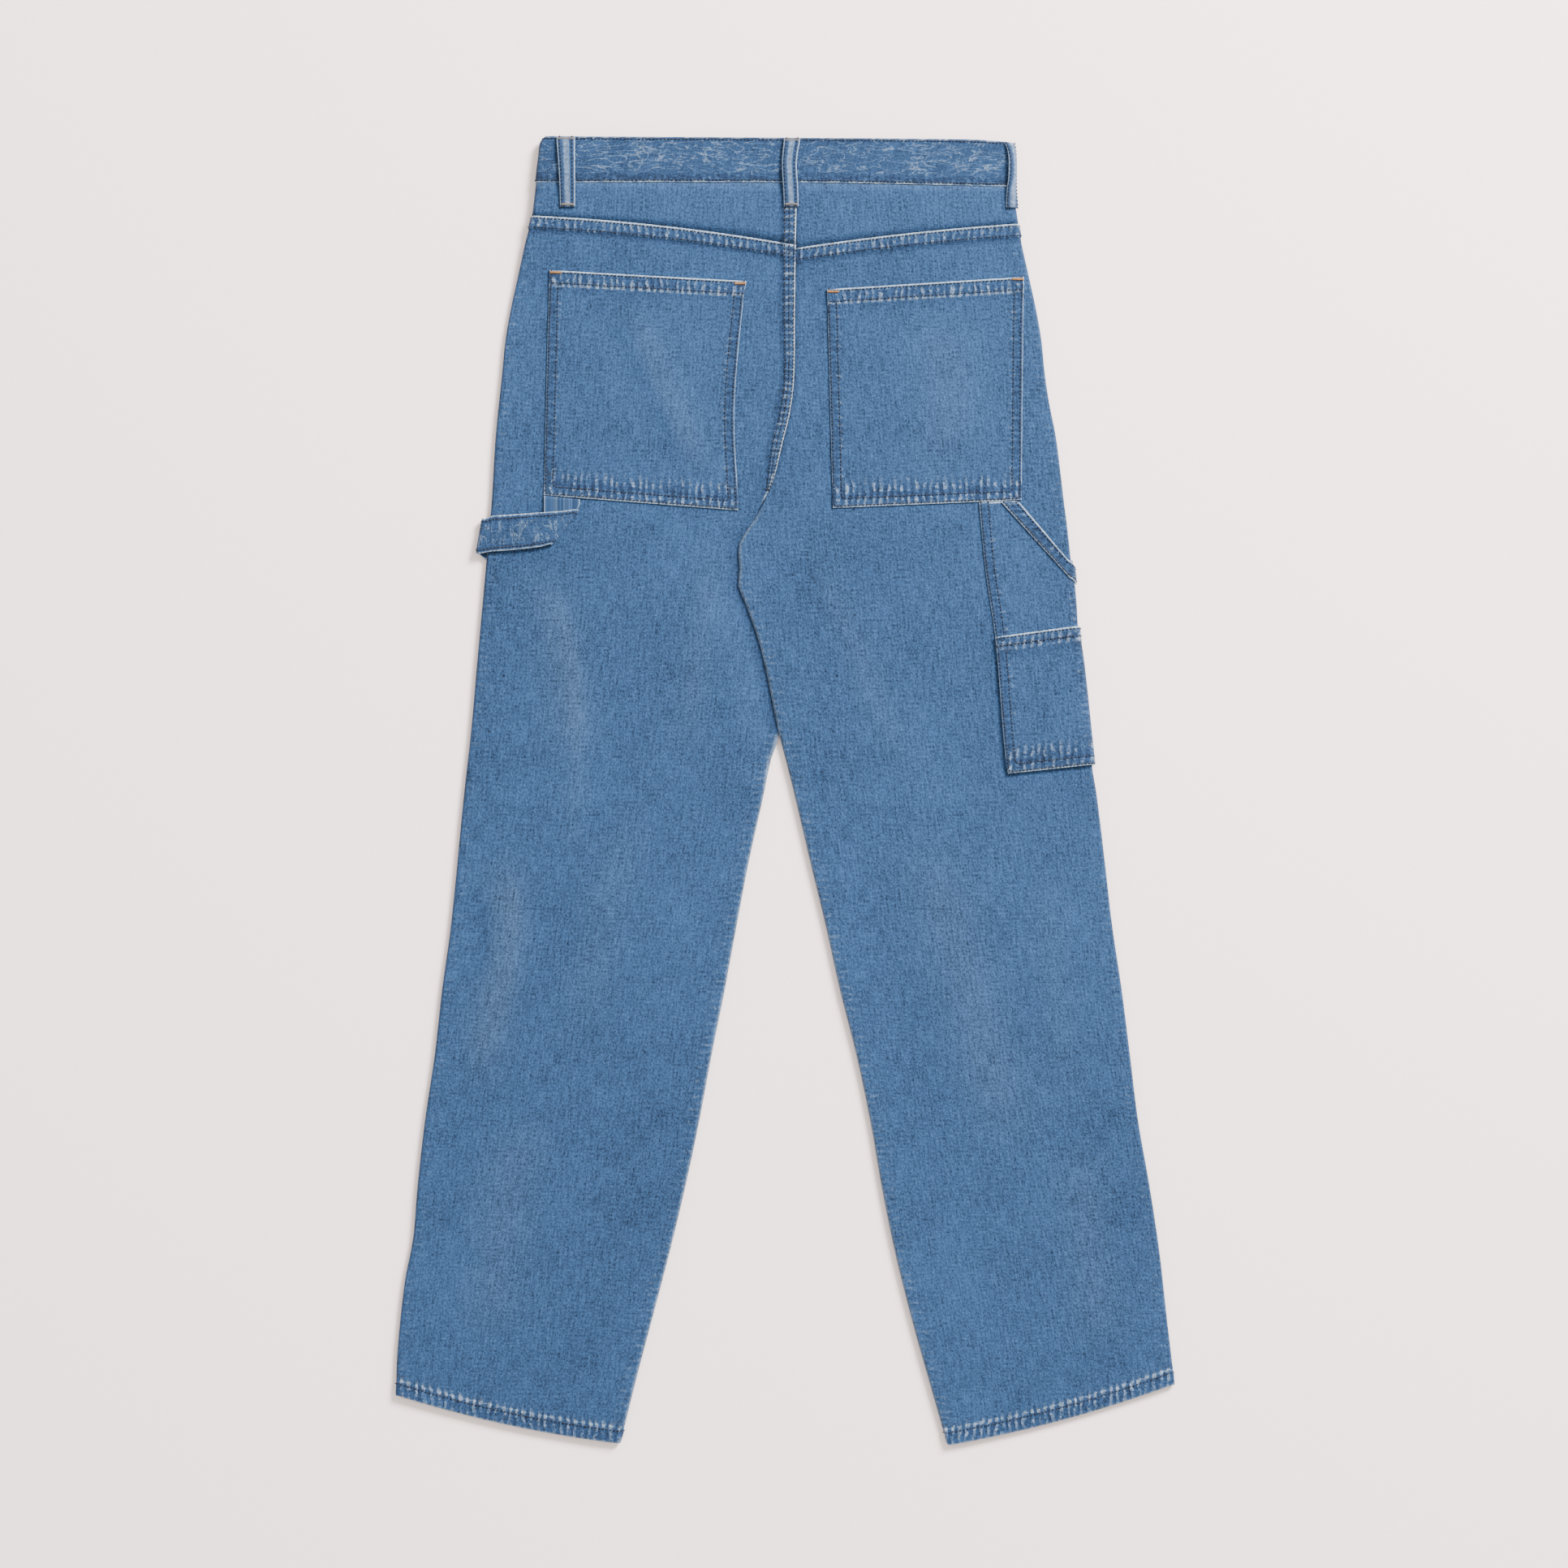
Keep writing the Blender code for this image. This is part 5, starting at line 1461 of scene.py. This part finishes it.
def plain_material(name, colour, roughness, metallic=0.0):
    """Material of one colour, with a faint unevenness."""
    material = bpy.data.materials.get(name)
    if material:
        return material
    material = bpy.data.materials.new(name)
    material.use_nodes = True
    tree = material.node_tree
    shader = tree.nodes["Principled BSDF"]
    place = tree.nodes.new("ShaderNodeTexCoord")
    uneven = noise(tree, place.outputs["Object"], 600.0, 2.0)
    dark = [part * 0.6 for part in colour]
    tint = mixed(tree, dark, list(colour), spread(tree, uneven, 0.35, 0.6, 0.0, 1.0))
    tree.links.new(tint, shader.inputs["Base Color"])
    shader.inputs["Roughness"].default_value = roughness
    shader.inputs["Metallic"].default_value = metallic
    shader.inputs["Specular IOR Level"].default_value = 0.3
    return material


def stitch_tree():
    """Geometry node tree that sets a stitch at every pitch of a path."""
    tree = bpy.data.node_groups.get("Stitch Run")
    if tree:
        return tree
    tree = bpy.data.node_groups.new("Stitch Run", "GeometryNodeTree")
    tree.interface.new_socket(name="Path", in_out="INPUT", socket_type="NodeSocketGeometry")
    for name in ("Pitch", "Length", "Thickness", "Turn"):
        tree.interface.new_socket(name=name, in_out="INPUT", socket_type="NodeSocketFloat")
    tree.interface.new_socket(name="Thread", in_out="INPUT", socket_type="NodeSocketMaterial")
    tree.interface.new_socket(name="Stitches", in_out="OUTPUT", socket_type="NodeSocketGeometry")
    given = tree.nodes.new("NodeGroupInput")
    result = tree.nodes.new("NodeGroupOutput")
    spaced = tree.nodes.new("GeometryNodeResampleCurve")
    spaced.mode = "LENGTH"
    stitch = tree.nodes.new("GeometryNodeMeshUVSphere")
    stitch.inputs["Segments"].default_value = 6
    stitch.inputs["Rings"].default_value = 4
    stitch.inputs["Radius"].default_value = 0.5
    size = tree.nodes.new("ShaderNodeCombineXYZ")
    scaled = tree.nodes.new("GeometryNodeTransform")
    tangent = tree.nodes.new("GeometryNodeInputTangent")
    aligned = tree.nodes.new("FunctionNodeAlignRotationToVector")
    aligned.axis = "X"
    turned = tree.nodes.new("FunctionNodeAxisAngleToRotation")
    turned.inputs["Axis"].default_value = (0.0, 0.0, 1.0)
    facing = tree.nodes.new("FunctionNodeRotateRotation")
    facing.rotation_space = "LOCAL"
    placed_stitches = tree.nodes.new("GeometryNodeInstanceOnPoints")
    real = tree.nodes.new("GeometryNodeRealizeInstances")
    painted = tree.nodes.new("GeometryNodeSetMaterial")
    for output, socket in (
        (given.outputs["Path"], spaced.inputs["Curve"]),
        (given.outputs["Pitch"], spaced.inputs["Length"]),
        (given.outputs["Length"], size.inputs["X"]),
        (given.outputs["Thickness"], size.inputs["Y"]),
        (given.outputs["Thickness"], size.inputs["Z"]),
        (stitch.outputs["Mesh"], scaled.inputs["Geometry"]),
        (size.outputs["Vector"], scaled.inputs["Scale"]),
        (tangent.outputs["Tangent"], aligned.inputs["Vector"]),
        (given.outputs["Turn"], turned.inputs["Angle"]),
        (aligned.outputs["Rotation"], facing.inputs["Rotation"]),
        (turned.outputs["Rotation"], facing.inputs["Rotate By"]),
        (spaced.outputs["Curve"], placed_stitches.inputs["Points"]),
        (scaled.outputs["Geometry"], placed_stitches.inputs["Instance"]),
        (facing.outputs["Rotation"], placed_stitches.inputs["Rotation"]),
        (placed_stitches.outputs["Instances"], real.inputs["Geometry"]),
        (real.outputs["Geometry"], painted.inputs["Geometry"]),
        (given.outputs["Thread"], painted.inputs["Material"]),
        (painted.outputs["Geometry"], result.inputs["Stitches"]),
    ):
        tree.links.new(output, socket)
    return tree


def sew(name, runs, stitches, material, pitch=None, length=None, turn=0.0):
    """Mesh of stitches along runs of points, made by the stitch tree."""
    curve = bpy.data.curves.new(name + " paths", "CURVE")
    curve.dimensions = "3D"
    for run in runs:
        spline = curve.splines.new("POLY")
        spline.points.add(len(run) - 1)
        for target, point in zip(spline.points, run):
            target.co = placed(point) + (1.0,)
    path = bpy.data.objects.new(name + " paths", curve)
    bpy.context.scene.collection.objects.link(path)
    modifier = path.modifiers.new("Stitch Run", "NODES")
    modifier.node_group = stitch_tree()
    values = {
        "Pitch": pitch or stitches.pitch,
        "Length": length or stitches.length,
        "Thickness": stitches.thickness,
        "Turn": turn,
        "Thread": material,
    }
    for item in modifier.node_group.interface.items_tree:
        if item.in_out == "INPUT" and item.name in values:
            modifier[item.identifier] = values[item.name]
    bpy.context.view_layer.update()
    evaluated = path.evaluated_get(bpy.context.evaluated_depsgraph_get())
    mesh = bpy.data.meshes.new_from_object(evaluated)
    mesh.name = name
    path.modifiers.remove(modifier)
    bpy.data.objects.remove(path)
    bpy.data.curves.remove(curve)
    piece = bpy.data.objects.new(name, mesh)
    bpy.context.scene.collection.objects.link(piece)
    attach(piece, "root")
    return piece


def thread(stitches):
    """Seam thread."""
    return plain_material("Seam Thread", stitches.thread_colour, 0.6)


def row_run(leg, row, start_reach, end_reach, out):
    """Run of points along a panel's row."""
    flat_start, flat_end, _ = row_ends(leg, row)
    count = max(int(abs(end_reach - start_reach) / RUN_STEP), 2)
    run = []
    for number in range(count + 1):
        reach = blend(start_reach, end_reach, number / count)
        down = row_down(row, reach, flat_start, flat_end)
        run.append(back_point(leg, reach, down, out + STITCH_OUT))
    return run


def seam_runs(leg, seam):
    """Both stitch lines of the yoke seam."""
    runs = []
    for inset in (1.7, SEAM_STRIP - 1.6):
        row = shifted(seam, inset)
        flat_start, flat_end, inner_end = row_ends(leg, row)
        first = inner_end + (11.0 if leg.side < 0 else 0.5)
        runs.append(row_run(leg, row, first, flat_end + 3.0, SEAM_RAISE))
    return runs


def hem_run(leg, hem):
    """Stitch line of a hem."""
    row = shifted(hem, -HEM_DEPTH + 0.8)
    flat_start, flat_end, inner_end = row_ends(leg, row)
    return row_run(leg, row, inner_end + 0.5, flat_end + 3.5, 0.25)


def seat_runs():
    """Three stitch lines of the seat seam."""
    runs = []
    for place in (0.14, 0.52, 0.88):
        run = []
        down = 42.0
        while down < 293.0:
            strip = between(SEAT_STRIP, down)
            reach = LEFT_LEG.back_edge(down) + strip * place
            out = SEAM_RAISE * (1.0 - ease(down, *SEAT_RISE_ENDS)) + STITCH_OUT
            run.append(back_point(LEFT_LEG, reach, down, out))
            down += RUN_STEP
        runs.append(run)
    return runs


def patch_runs(leg, grid, out):
    """Stitch lines of a patch: double round its open sides and along its hem."""
    runs = []
    for inset in STITCH_INSETS:
        left = [inset_place(places, inset) for places in grid]
        right = [inset_place(list(reversed(places)), inset) for places in grid]
        top = grid[0][0][1]
        bottom_reach = [place for place in grid[-1] if left[-1][0] <= place[0] <= right[-1][0]]
        bottom = [(reach, down - inset) for reach, down in bottom_reach]
        down_left = [place for place in left if place[1] < bottom[0][1]]
        up_right = [place for place in reversed(right) if place[1] < bottom[-1][1]]
        if inset > 2.0:
            down_left = [place for place in down_left if place[1] > top + POCKET_HEM]
            up_right = [place for place in up_right if place[1] > grid[0][-1][1] + POCKET_HEM]
        path = down_left + bottom + up_right
        runs.append([back_point(leg, reach, down, out + STITCH_OUT) for reach, down in path])
    top_out = out + POCKET_HEM_RAISE + STITCH_OUT
    for inset in (1.6, POCKET_HEM - 1.6):
        runs.append([back_point(leg, reach, down + inset, top_out) for reach, down in grid[0][3:-3]])
    return runs


def inset_place(places, inset):
    """Place on a row at a distance from its first place."""
    first = places[0]
    for start, end in zip(places, places[1:]):
        near = abs(start[0] - first[0])
        far = abs(end[0] - first[0])
        if far >= inset:
            share = (inset - near) / (far - near)
            return (blend(start[0], end[0], share), blend(start[1], end[1], share))
    return places[-1]


def open_patch_runs(grid, out):
    """Stitch lines of the lower tool patch, whose outer side goes into the side seam."""
    runs = []
    for inset in STITCH_INSETS:
        left = [inset_place(places, inset) for places in grid]
        bottom = [(reach, down - inset) for reach, down in grid[-1] if reach > left[-1][0]]
        down_left = [place for place in left if place[1] < bottom[0][1]]
        if inset > 2.0:
            down_left = [place for place in down_left if place[1] > grid[0][0][1] + TOOL_HEM]
        path = down_left + bottom
        runs.append([back_point(RIGHT_LEG, reach, down, out + STITCH_OUT) for reach, down in path])
    top_out = out + POCKET_HEM_RAISE + STITCH_OUT
    for inset in (1.6, TOOL_HEM - 1.4):
        runs.append([back_point(RIGHT_LEG, reach, down + inset, top_out) for reach, down in grid[0][2:]])
    return runs


def band_runs():
    """Stitch lines round the waistband, near its top and its bottom."""
    runs = []
    for share in (0.05, 0.95):
        left, right = band_sides(share)
        run = []
        for part, place in band_stations(left, right):
            out = STITCH_OUT
            if part == "back":
                out += band_relief(place, share)
            run.append(band_point(part, place, share, left, right, out))
        runs.append(run)
    return runs


def loop_runs(table, seam):
    """Stitch lines beside both edges of a belt loop on the back."""
    runs = []
    for share in (0.16, 0.84):
        run = []
        for down, left, right, arch in loop_rows(table):
            height = loop_base(down, seam, arch) + LOOP_WALL + THIN_STITCH_OUT
            run.append((blend(left, right, share), down, height))
        runs.append(run)
    return runs


def side_loop_runs():
    """Stitch lines of the belt loop at the side."""
    out = LOOP_WALL + THIN_STITCH_OUT
    rows = loop_rows(BACK_RIGHT_LOOP)
    return [[side_loop_point(row, share, out) for row in rows] for share in (0.14, 0.86)]


def strap_runs():
    """Stitch lines beside both edges of the hammer loop."""
    runs = []
    for share in (0.1, 0.9):
        run = []
        for upper, lower, direction in strap_rows():
            middle = [blend(upper[i], lower[i], share) for i in range(3)]
            out = STRAP_WALL / 2.0 + THIN_STITCH_OUT
            run.append(tuple(middle[i] + direction[i] * out for i in range(3)))
        runs.append(run)
    return runs


def opening_runs():
    """Stitch lines of the slanted band."""
    runs = []
    for share in (0.16, 0.84):
        run = []
        for number in range(OPENING_STEPS + 1):
            reach, down = opening_place(number / OPENING_STEPS, share)
            run.append(back_point(RIGHT_LEG, reach, down, TOOL_OUT + THIN_STITCH_OUT))
        runs.append(run)
    return runs


def tack_run(leg, reach, down, width, out):
    """Short run of a bartack across a pocket's corner."""
    return [back_point(leg, reach + width * number / 4.0, down, out) for number in range(5)]


class PANTS_OT_yokes(bpy.types.Operator):
    """Make both yokes"""

    bl_idname = "pants.yokes"
    bl_label = "Yokes"

    def execute(self, context):
        cloth = context.scene.pants_cloth
        denim = denim_material("Denim", cloth)
        for name, node, leg, top, seam, flat, below, area in (
            ("yoke_cloth_left", "yoke_left", LEFT_LEG, LEFT_YOKE_TOP, LEFT_SEAM,
             (0.222, 0.053), "yoke_right", 0.0082),
            ("yoke_cloth_right", "yoke_right", RIGHT_LEG, RIGHT_YOKE_TOP, RIGHT_SEAM,
             (0.186, 0.055), "yoke_left", 0.0075),
        ):
            bottom = shifted(seam, -GAP)
            rows = rows_from(top, bottom, YOKE_ROW_STEP) + [bottom]
            piece = back_panel(name, leg, rows, denim, cloth, False, False)
            declare(piece, node)
        return {"FINISHED"}


class PANTS_OT_backs(bpy.types.Operator):
    """Make both back panels, with their raised yoke seams, seat seam and hems"""

    bl_idname = "pants.backs"
    bl_label = "Back Panels"

    def execute(self, context):
        cloth = context.scene.pants_cloth
        denim = denim_material("Denim", cloth)
        for name, node, leg, seam, hem, area, stops in (
            ("back_cloth_left", "back_left", LEFT_LEG, LEFT_SEAM, LEFT_HEM, 0.229, LEFT_BACK_STOPS),
            ("back_cloth_right", "back_right", RIGHT_LEG, RIGHT_SEAM, RIGHT_HEM, 0.226, RIGHT_BACK_STOPS),
        ):
            rows = [shifted(seam, place) for place in SEAM_PLACES]
            first = shifted(seam, SEAM_ROWS_END)
            for stop in stops + (shifted(hem, -HEM_PLACES[0]),):
                rows += rows_from(first, stop, cloth.row_step / MILLIMETRE)
                first = stop
            rows += [shifted(hem, -place) for place in HEM_PLACES]
            piece = back_panel(name, leg, rows, denim, cloth)
            declare(piece, node)
        return {"FINISHED"}


class PANTS_OT_fronts(bpy.types.Operator):
    """Make both front panels, plain and flat on the floor"""

    bl_idname = "pants.fronts"
    bl_label = "Front Panels"

    def execute(self, context):
        cloth = context.scene.pants_cloth
        denim = denim_material("Denim", cloth)
        for name, node, leg, top, hem, area in (
            ("front_cloth_left", "front_left", LEFT_LEG, LEFT_FRONT_TOP, LEFT_HEM, 0.234),
            ("front_cloth_right", "front_right", RIGHT_LEG, RIGHT_FRONT_TOP, RIGHT_HEM, 0.229),
        ):
            rows = []
            first = top
            for stop in FRONT_STOPS + (shifted(hem, -HEM_DEPTH),):
                rows += rows_from(first, stop, FRONT_ROW_STEP)
                first = stop
            rows += [shifted(hem, -place) for place in (HEM_DEPTH, 7.0, 3.0, 0.0)]
            piece = front_panel(name, leg, rows, denim)
            declare(piece, node)
        return {"FINISHED"}


class PANTS_OT_waistband(bpy.types.Operator):
    """Make the waistband with its stitch lines"""

    bl_idname = "pants.waistband"
    bl_label = "Waistband"

    def execute(self, context):
        cloth = context.scene.pants_cloth
        stitches = context.scene.pants_stitches
        piece = waistband_shell(denim_material("Band Denim", cloth, 1.1, 0.2, 0.3), cloth)
        sewn = sew("waist_stitches", band_runs(), stitches, thread(stitches))
        declare(piece, "waistband")
        return {"FINISHED"}


class PANTS_OT_back_pockets(bpy.types.Operator):
    """Make both back pockets with their stitching and bartacks"""

    bl_idname = "pants.back_pockets"
    bl_label = "Back Pockets"

    def execute(self, context):
        cloth = context.scene.pants_cloth
        stitches = context.scene.pants_stitches
        denim = denim_material("Pocket Denim", cloth)
        tan = plain_material("Tack Thread", stitches.tack_colour, 0.6)
        for name, node, leg, top, bottom, inner_line, outer_line, area in (
            ("pocket_cloth_left", "back_pocket_left", LEFT_LEG, LEFT_POCKET_TOP, LEFT_POCKET_BOTTOM,
             LEFT_POCKET_INNER, LEFT_POCKET_OUTER, 0.0298),
            ("pocket_cloth_right", "back_pocket_right", RIGHT_LEG, RIGHT_POCKET_TOP, RIGHT_POCKET_BOTTOM,
             RIGHT_POCKET_INNER, RIGHT_POCKET_OUTER, 0.0291),
        ):
            grid = pocket_grid(leg, top, bottom, inner_line, outer_line)
            piece = patch_shell(name, leg, grid, POCKET_OUT, True, denim, cloth)
            runs = patch_runs(leg, grid, POCKET_OUT)
            sewn = sew(name + "_stitches", runs, stitches, thread(stitches))
            out = POCKET_OUT + POCKET_HEM_RAISE + 0.3
            (left_reach, left_down), (right_reach, right_down) = grid[0][0], grid[0][-1]
            tacks = [
                tack_run(leg, left_reach + 0.8, left_down + 1.8, TACK_WIDTH, out),
                tack_run(leg, right_reach - 0.8 - TACK_WIDTH, right_down + 1.8, TACK_WIDTH, out),
            ]
            tacked = sew(name + "_tacks", tacks, stitches, tan, TACK_PITCH, TACK_LENGTH, QUARTER)
            declare(piece, node)
        return {"FINISHED"}


class PANTS_OT_tool_pocket(bpy.types.Operator):
    """Make the tool pocket's two patches and its slanted band"""

    bl_idname = "pants.tool_pocket"
    bl_label = "Tool Pocket"

    def execute(self, context):
        cloth = context.scene.pants_cloth
        stitches = context.scene.pants_stitches
        denim = denim_material("Pocket Denim", cloth)
        upper_grid = upper_patch_grid()
        lower_grid = lower_patch_grid()
        upper = patch_shell("tool_patch_upper", RIGHT_LEG, upper_grid, POCKET_OUT, False, denim, cloth, False)
        lower = patch_shell("tool_patch_lower", RIGHT_LEG, lower_grid, TOOL_OUT, True, denim, cloth, False)
        band = opening_band(denim, cloth)
        side = []
        for inset in STITCH_INSETS:
            run = [inset_place(places, inset) for places in upper_grid if places[0][1] < TOOL_TOP[0] + 6.0]
            side.append([back_point(RIGHT_LEG, reach, down, POCKET_OUT + STITCH_OUT) for reach, down in run])
        lower_runs = open_patch_runs(lower_grid, TOOL_OUT)
        upper_sewn = sew("tool_patch_upper_stitches", side, stitches, thread(stitches))
        lower_sewn = sew("tool_patch_lower_stitches", lower_runs, stitches, thread(stitches))
        band_sewn = sew("tool_band_stitches", opening_runs(), stitches, thread(stitches))
        declare(upper, "tool_pocket_upper")
        declare(lower, "tool_pocket_lower")
        declare(band, "tool_pocket_band")
        return {"FINISHED"}


class PANTS_OT_hammer_loop(bpy.types.Operator):
    """Make the hammer loop with its stitching"""

    bl_idname = "pants.hammer_loop"
    bl_label = "Hammer Loop"

    def execute(self, context):
        cloth = context.scene.pants_cloth
        stitches = context.scene.pants_stitches
        piece = strap_shell(denim_material("Strap Denim", cloth, 1.1, 0.2, 0.2))
        sewn = sew("strap_stitches", strap_runs(), stitches, thread(stitches))
        declare(piece, "hammer_loop")
        return {"FINISHED"}


class PANTS_OT_belt_loops(bpy.types.Operator):
    """Make the five belt loops with their stitching and bartacks"""

    bl_idname = "pants.belt_loops"
    bl_label = "Belt Loops"

    def execute(self, context):
        cloth = context.scene.pants_cloth
        stitches = context.scene.pants_stitches
        denim = denim_material("Loop Denim", cloth, 1.1, 0.15)
        grey = plain_material("Loop Tack Thread", stitches.loop_tack_colour, 0.6)
        for name, node, table, seam in (
            ("loop_left", "belt_loop_back_left", BACK_LEFT_LOOP, 0.0),
            ("loop_centre", "belt_loop_centre", CENTRE_LOOP, SEAM_RAISE),
        ):
            piece = back_loop_shell(name, table, seam, denim)
            sewn = sew(name + "_stitches", loop_runs(table, seam), stitches, thread(stitches))
            highest = max(BAND_MIDDLE + BAND_BEND, yoke_top(seam))
            ends = []
            for row, inset, height in ((table[0], 1.6, highest), (table[-1], -1.8, yoke_top(seam))):
                down = row[0] + inset
                place = height + GAP + LOOP_WALL + STITCH_OUT
                left = row[1] + 1.5
                right = row[2] - 1.5
                ends.append([(blend(left, right, share), down, place) for share in (0.0, 0.5, 1.0)])
            tacked = sew(name + "_tacks", ends, stitches, grey, TACK_PITCH, TACK_LENGTH, QUARTER)
            declare(piece, node)
        side = side_loop_shell(denim)
        side_sewn = sew("side_loop_stitches", side_loop_runs(), stitches, thread(stitches))
        declare(side, "belt_loop_back_right")
        for name, node, across in (
            ("loop_front_left", "belt_loop_front_left", FRONT_LOOP_LEFT),
            ("loop_front_right", "belt_loop_front_right", FRONT_LOOP_RIGHT),
        ):
            piece = front_loop_shell(name, across, denim)
            declare(piece, node)
        return {"FINISHED"}


class PANTS_OT_button(bpy.types.Operator):
    """Make the waist button"""

    bl_idname = "pants.button"
    bl_label = "Button"

    def execute(self, context):
        points = []
        faces = []
        starts = []
        for radius, height in BUTTON_RINGS:
            starts.append(len(points))
            count = 1 if radius == 0.0 else BUTTON_SIDES
            for side in range(count):
                angle = 2.0 * math.pi * side / BUTTON_SIDES
                across = BUTTON_ACROSS + radius * math.cos(angle)
                points.append(placed((across, BUTTON_DOWN + radius * math.sin(angle), height)))
        for ring in range(len(BUTTON_RINGS) - 1):
            for side in range(BUTTON_SIDES):
                corners = []
                for place, count_on in ((ring, (side, side + 1)), (ring + 1, (side + 1, side))):
                    single = BUTTON_RINGS[place][0] == 0.0
                    corners += [starts[place] + (0 if single else turn % BUTTON_SIDES) for turn in count_on]
                faces.append(tuple(dict.fromkeys(corners)))
        if enclosed(points, faces) < 0.0:
            faces = [tuple(reversed(face)) for face in faces]
        mesh = bpy.data.meshes.new("waist_button")
        mesh.from_pydata(points, [], faces)
        mesh.update()
        mesh.polygons.foreach_set("use_smooth", [True] * len(mesh.polygons))
        mesh.materials.append(plain_material("Button Metal", BUTTON_COLOUR, 0.35, 1.0))
        piece = bpy.data.objects.new("waist_button", mesh)
        context.scene.collection.objects.link(piece)
        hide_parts("button")
        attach(piece, "root")
        return {"FINISHED"}


class PANTS_OT_stitching(bpy.types.Operator):
    """Sew the yoke seams, the seat seam and the hems"""

    bl_idname = "pants.stitching"
    bl_label = "Panel Stitching"

    def execute(self, context):
        stitches = context.scene.pants_stitches
        yokes = seam_runs(LEFT_LEG, LEFT_SEAM) + seam_runs(RIGHT_LEG, RIGHT_SEAM)
        hems = [hem_run(LEFT_LEG, LEFT_HEM), hem_run(RIGHT_LEG, RIGHT_HEM)]
        sew("yoke_seam_stitches", yokes, stitches, thread(stitches))
        sew("seat_seam_stitches", seat_runs(), stitches, thread(stitches))
        sew("hem_stitches", hems, stitches, thread(stitches))
        return {"FINISHED"}


class PANTS_OT_stage(bpy.types.Operator):
    """Make the floor, the lights and the camera"""

    bl_idname = "pants.stage"
    bl_label = "Stage"

    def execute(self, context):
        stage = context.scene.pants_stage
        mesh = bpy.data.meshes.new("floor")
        signs = ((-1.0, -1.0), (1.0, -1.0), (1.0, 1.0), (-1.0, 1.0))
        corners = [(x * FLOOR_HALF, y * FLOOR_HALF, FLOOR_HEIGHT) for x, y in signs]
        mesh.from_pydata(corners, [], [(0, 1, 2, 3)])
        material = bpy.data.materials.new("Pale Floor")
        material.use_nodes = True
        shader = material.node_tree.nodes["Principled BSDF"]
        shader.inputs["Base Color"].default_value = tuple(stage.floor_colour) + (1.0,)
        shader.inputs["Roughness"].default_value = 0.9
        shader.inputs["Specular IOR Level"].default_value = 0.1
        mesh.materials.append(material)
        floor = bpy.data.objects.new("floor", mesh)
        context.scene.collection.objects.link(floor)

        key_light = bpy.data.lights.new("key_light", "AREA")
        key_light.shape = "RECTANGLE"
        key_light.size = KEY_SIZE
        key_light.size_y = KEY_SIZE
        key_light.energy = stage.key_power
        key = bpy.data.objects.new("key_light", key_light)
        key.location = KEY_PLACE
        key.rotation_euler = (Vector((0.0, 0.0, 0.0)) - key.location).to_track_quat("-Z", "Y").to_euler()
        context.scene.collection.objects.link(key)

        world = bpy.data.worlds.new("studio")
        world.use_nodes = True
        background = world.node_tree.nodes["Background"]
        background.inputs["Color"].default_value = WORLD_COLOUR
        background.inputs["Strength"].default_value = WORLD_STRENGTH
        context.scene.world = world

        camera_data = bpy.data.cameras.new("camera")
        camera_data.sensor_width = SENSOR_WIDTH
        frame_width = PHOTO_PIXELS * MILLIMETRES_PER_PIXEL * MILLIMETRE
        camera_data.lens = camera_data.sensor_width * stage.camera_height / frame_width
        camera_data.clip_end = CAMERA_SIGHT
        camera = bpy.data.objects.new("camera", camera_data)
        camera.location = CAMERA_PLACE + (stage.camera_height,)
        context.scene.collection.objects.link(camera)
        context.scene.camera = camera
        return {"FINISHED"}


class PANTS_PT_sidebar(bpy.types.Panel):
    """Lists the pieces of the pants"""

    bl_idname = "PANTS_PT_sidebar"
    bl_label = "Carpenter Pants"
    bl_space_type = "VIEW_3D"
    bl_region_type = "UI"
    bl_category = "Pants"

    def draw(self, context):
        column = self.layout.column()
        for operator in OPERATORS:
            column.operator(operator.bl_idname)
        for name in ("denim_colour", "faded_and_painted_light_colour", "deep_and_painted_shade_colour", "pucker_height"):
            column.prop(context.scene.pants_cloth, name)
        for name in ("pitch", "thickness", "thread_colour"):
            column.prop(context.scene.pants_stitches, name)
        column.prop(context.scene.pants_stage, "floor_colour")


SETTINGS = (ClothSettings, StitchSettings, StageSettings)
OPERATORS = (
    PANTS_OT_fronts, PANTS_OT_backs, PANTS_OT_yokes, PANTS_OT_waistband, PANTS_OT_back_pockets,
    PANTS_OT_tool_pocket, PANTS_OT_hammer_loop, PANTS_OT_belt_loops, PANTS_OT_button, PANTS_OT_stitching,
    PANTS_OT_stage,
)


def register():
    """Register the settings, operators and panel."""
    for item in SETTINGS + OPERATORS + (PANTS_PT_sidebar,):
        bpy.utils.register_class(item)
    bpy.types.Scene.pants_cloth = bpy.props.PointerProperty(type=ClothSettings)
    bpy.types.Scene.pants_stitches = bpy.props.PointerProperty(type=StitchSettings)
    bpy.types.Scene.pants_stage = bpy.props.PointerProperty(type=StageSettings)


def unregister():
    """Take the settings, operators and panel away again."""
    del bpy.types.Scene.pants_stage
    del bpy.types.Scene.pants_stitches
    del bpy.types.Scene.pants_cloth
    for item in reversed(SETTINGS + OPERATORS + (PANTS_PT_sidebar,)):
        bpy.utils.unregister_class(item)


def main():
    """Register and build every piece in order."""
    register()
    bpy.ops.pants.stage()
    bpy.ops.pants.fronts()
    bpy.ops.pants.backs()
    bpy.ops.pants.yokes()
    bpy.ops.pants.waistband()
    bpy.ops.pants.back_pockets()
    bpy.ops.pants.tool_pocket()
    bpy.ops.pants.hammer_loop()
    bpy.ops.pants.belt_loops()
    bpy.ops.pants.button()
    bpy.ops.pants.stitching()


if __name__ == "__main__":
    main()
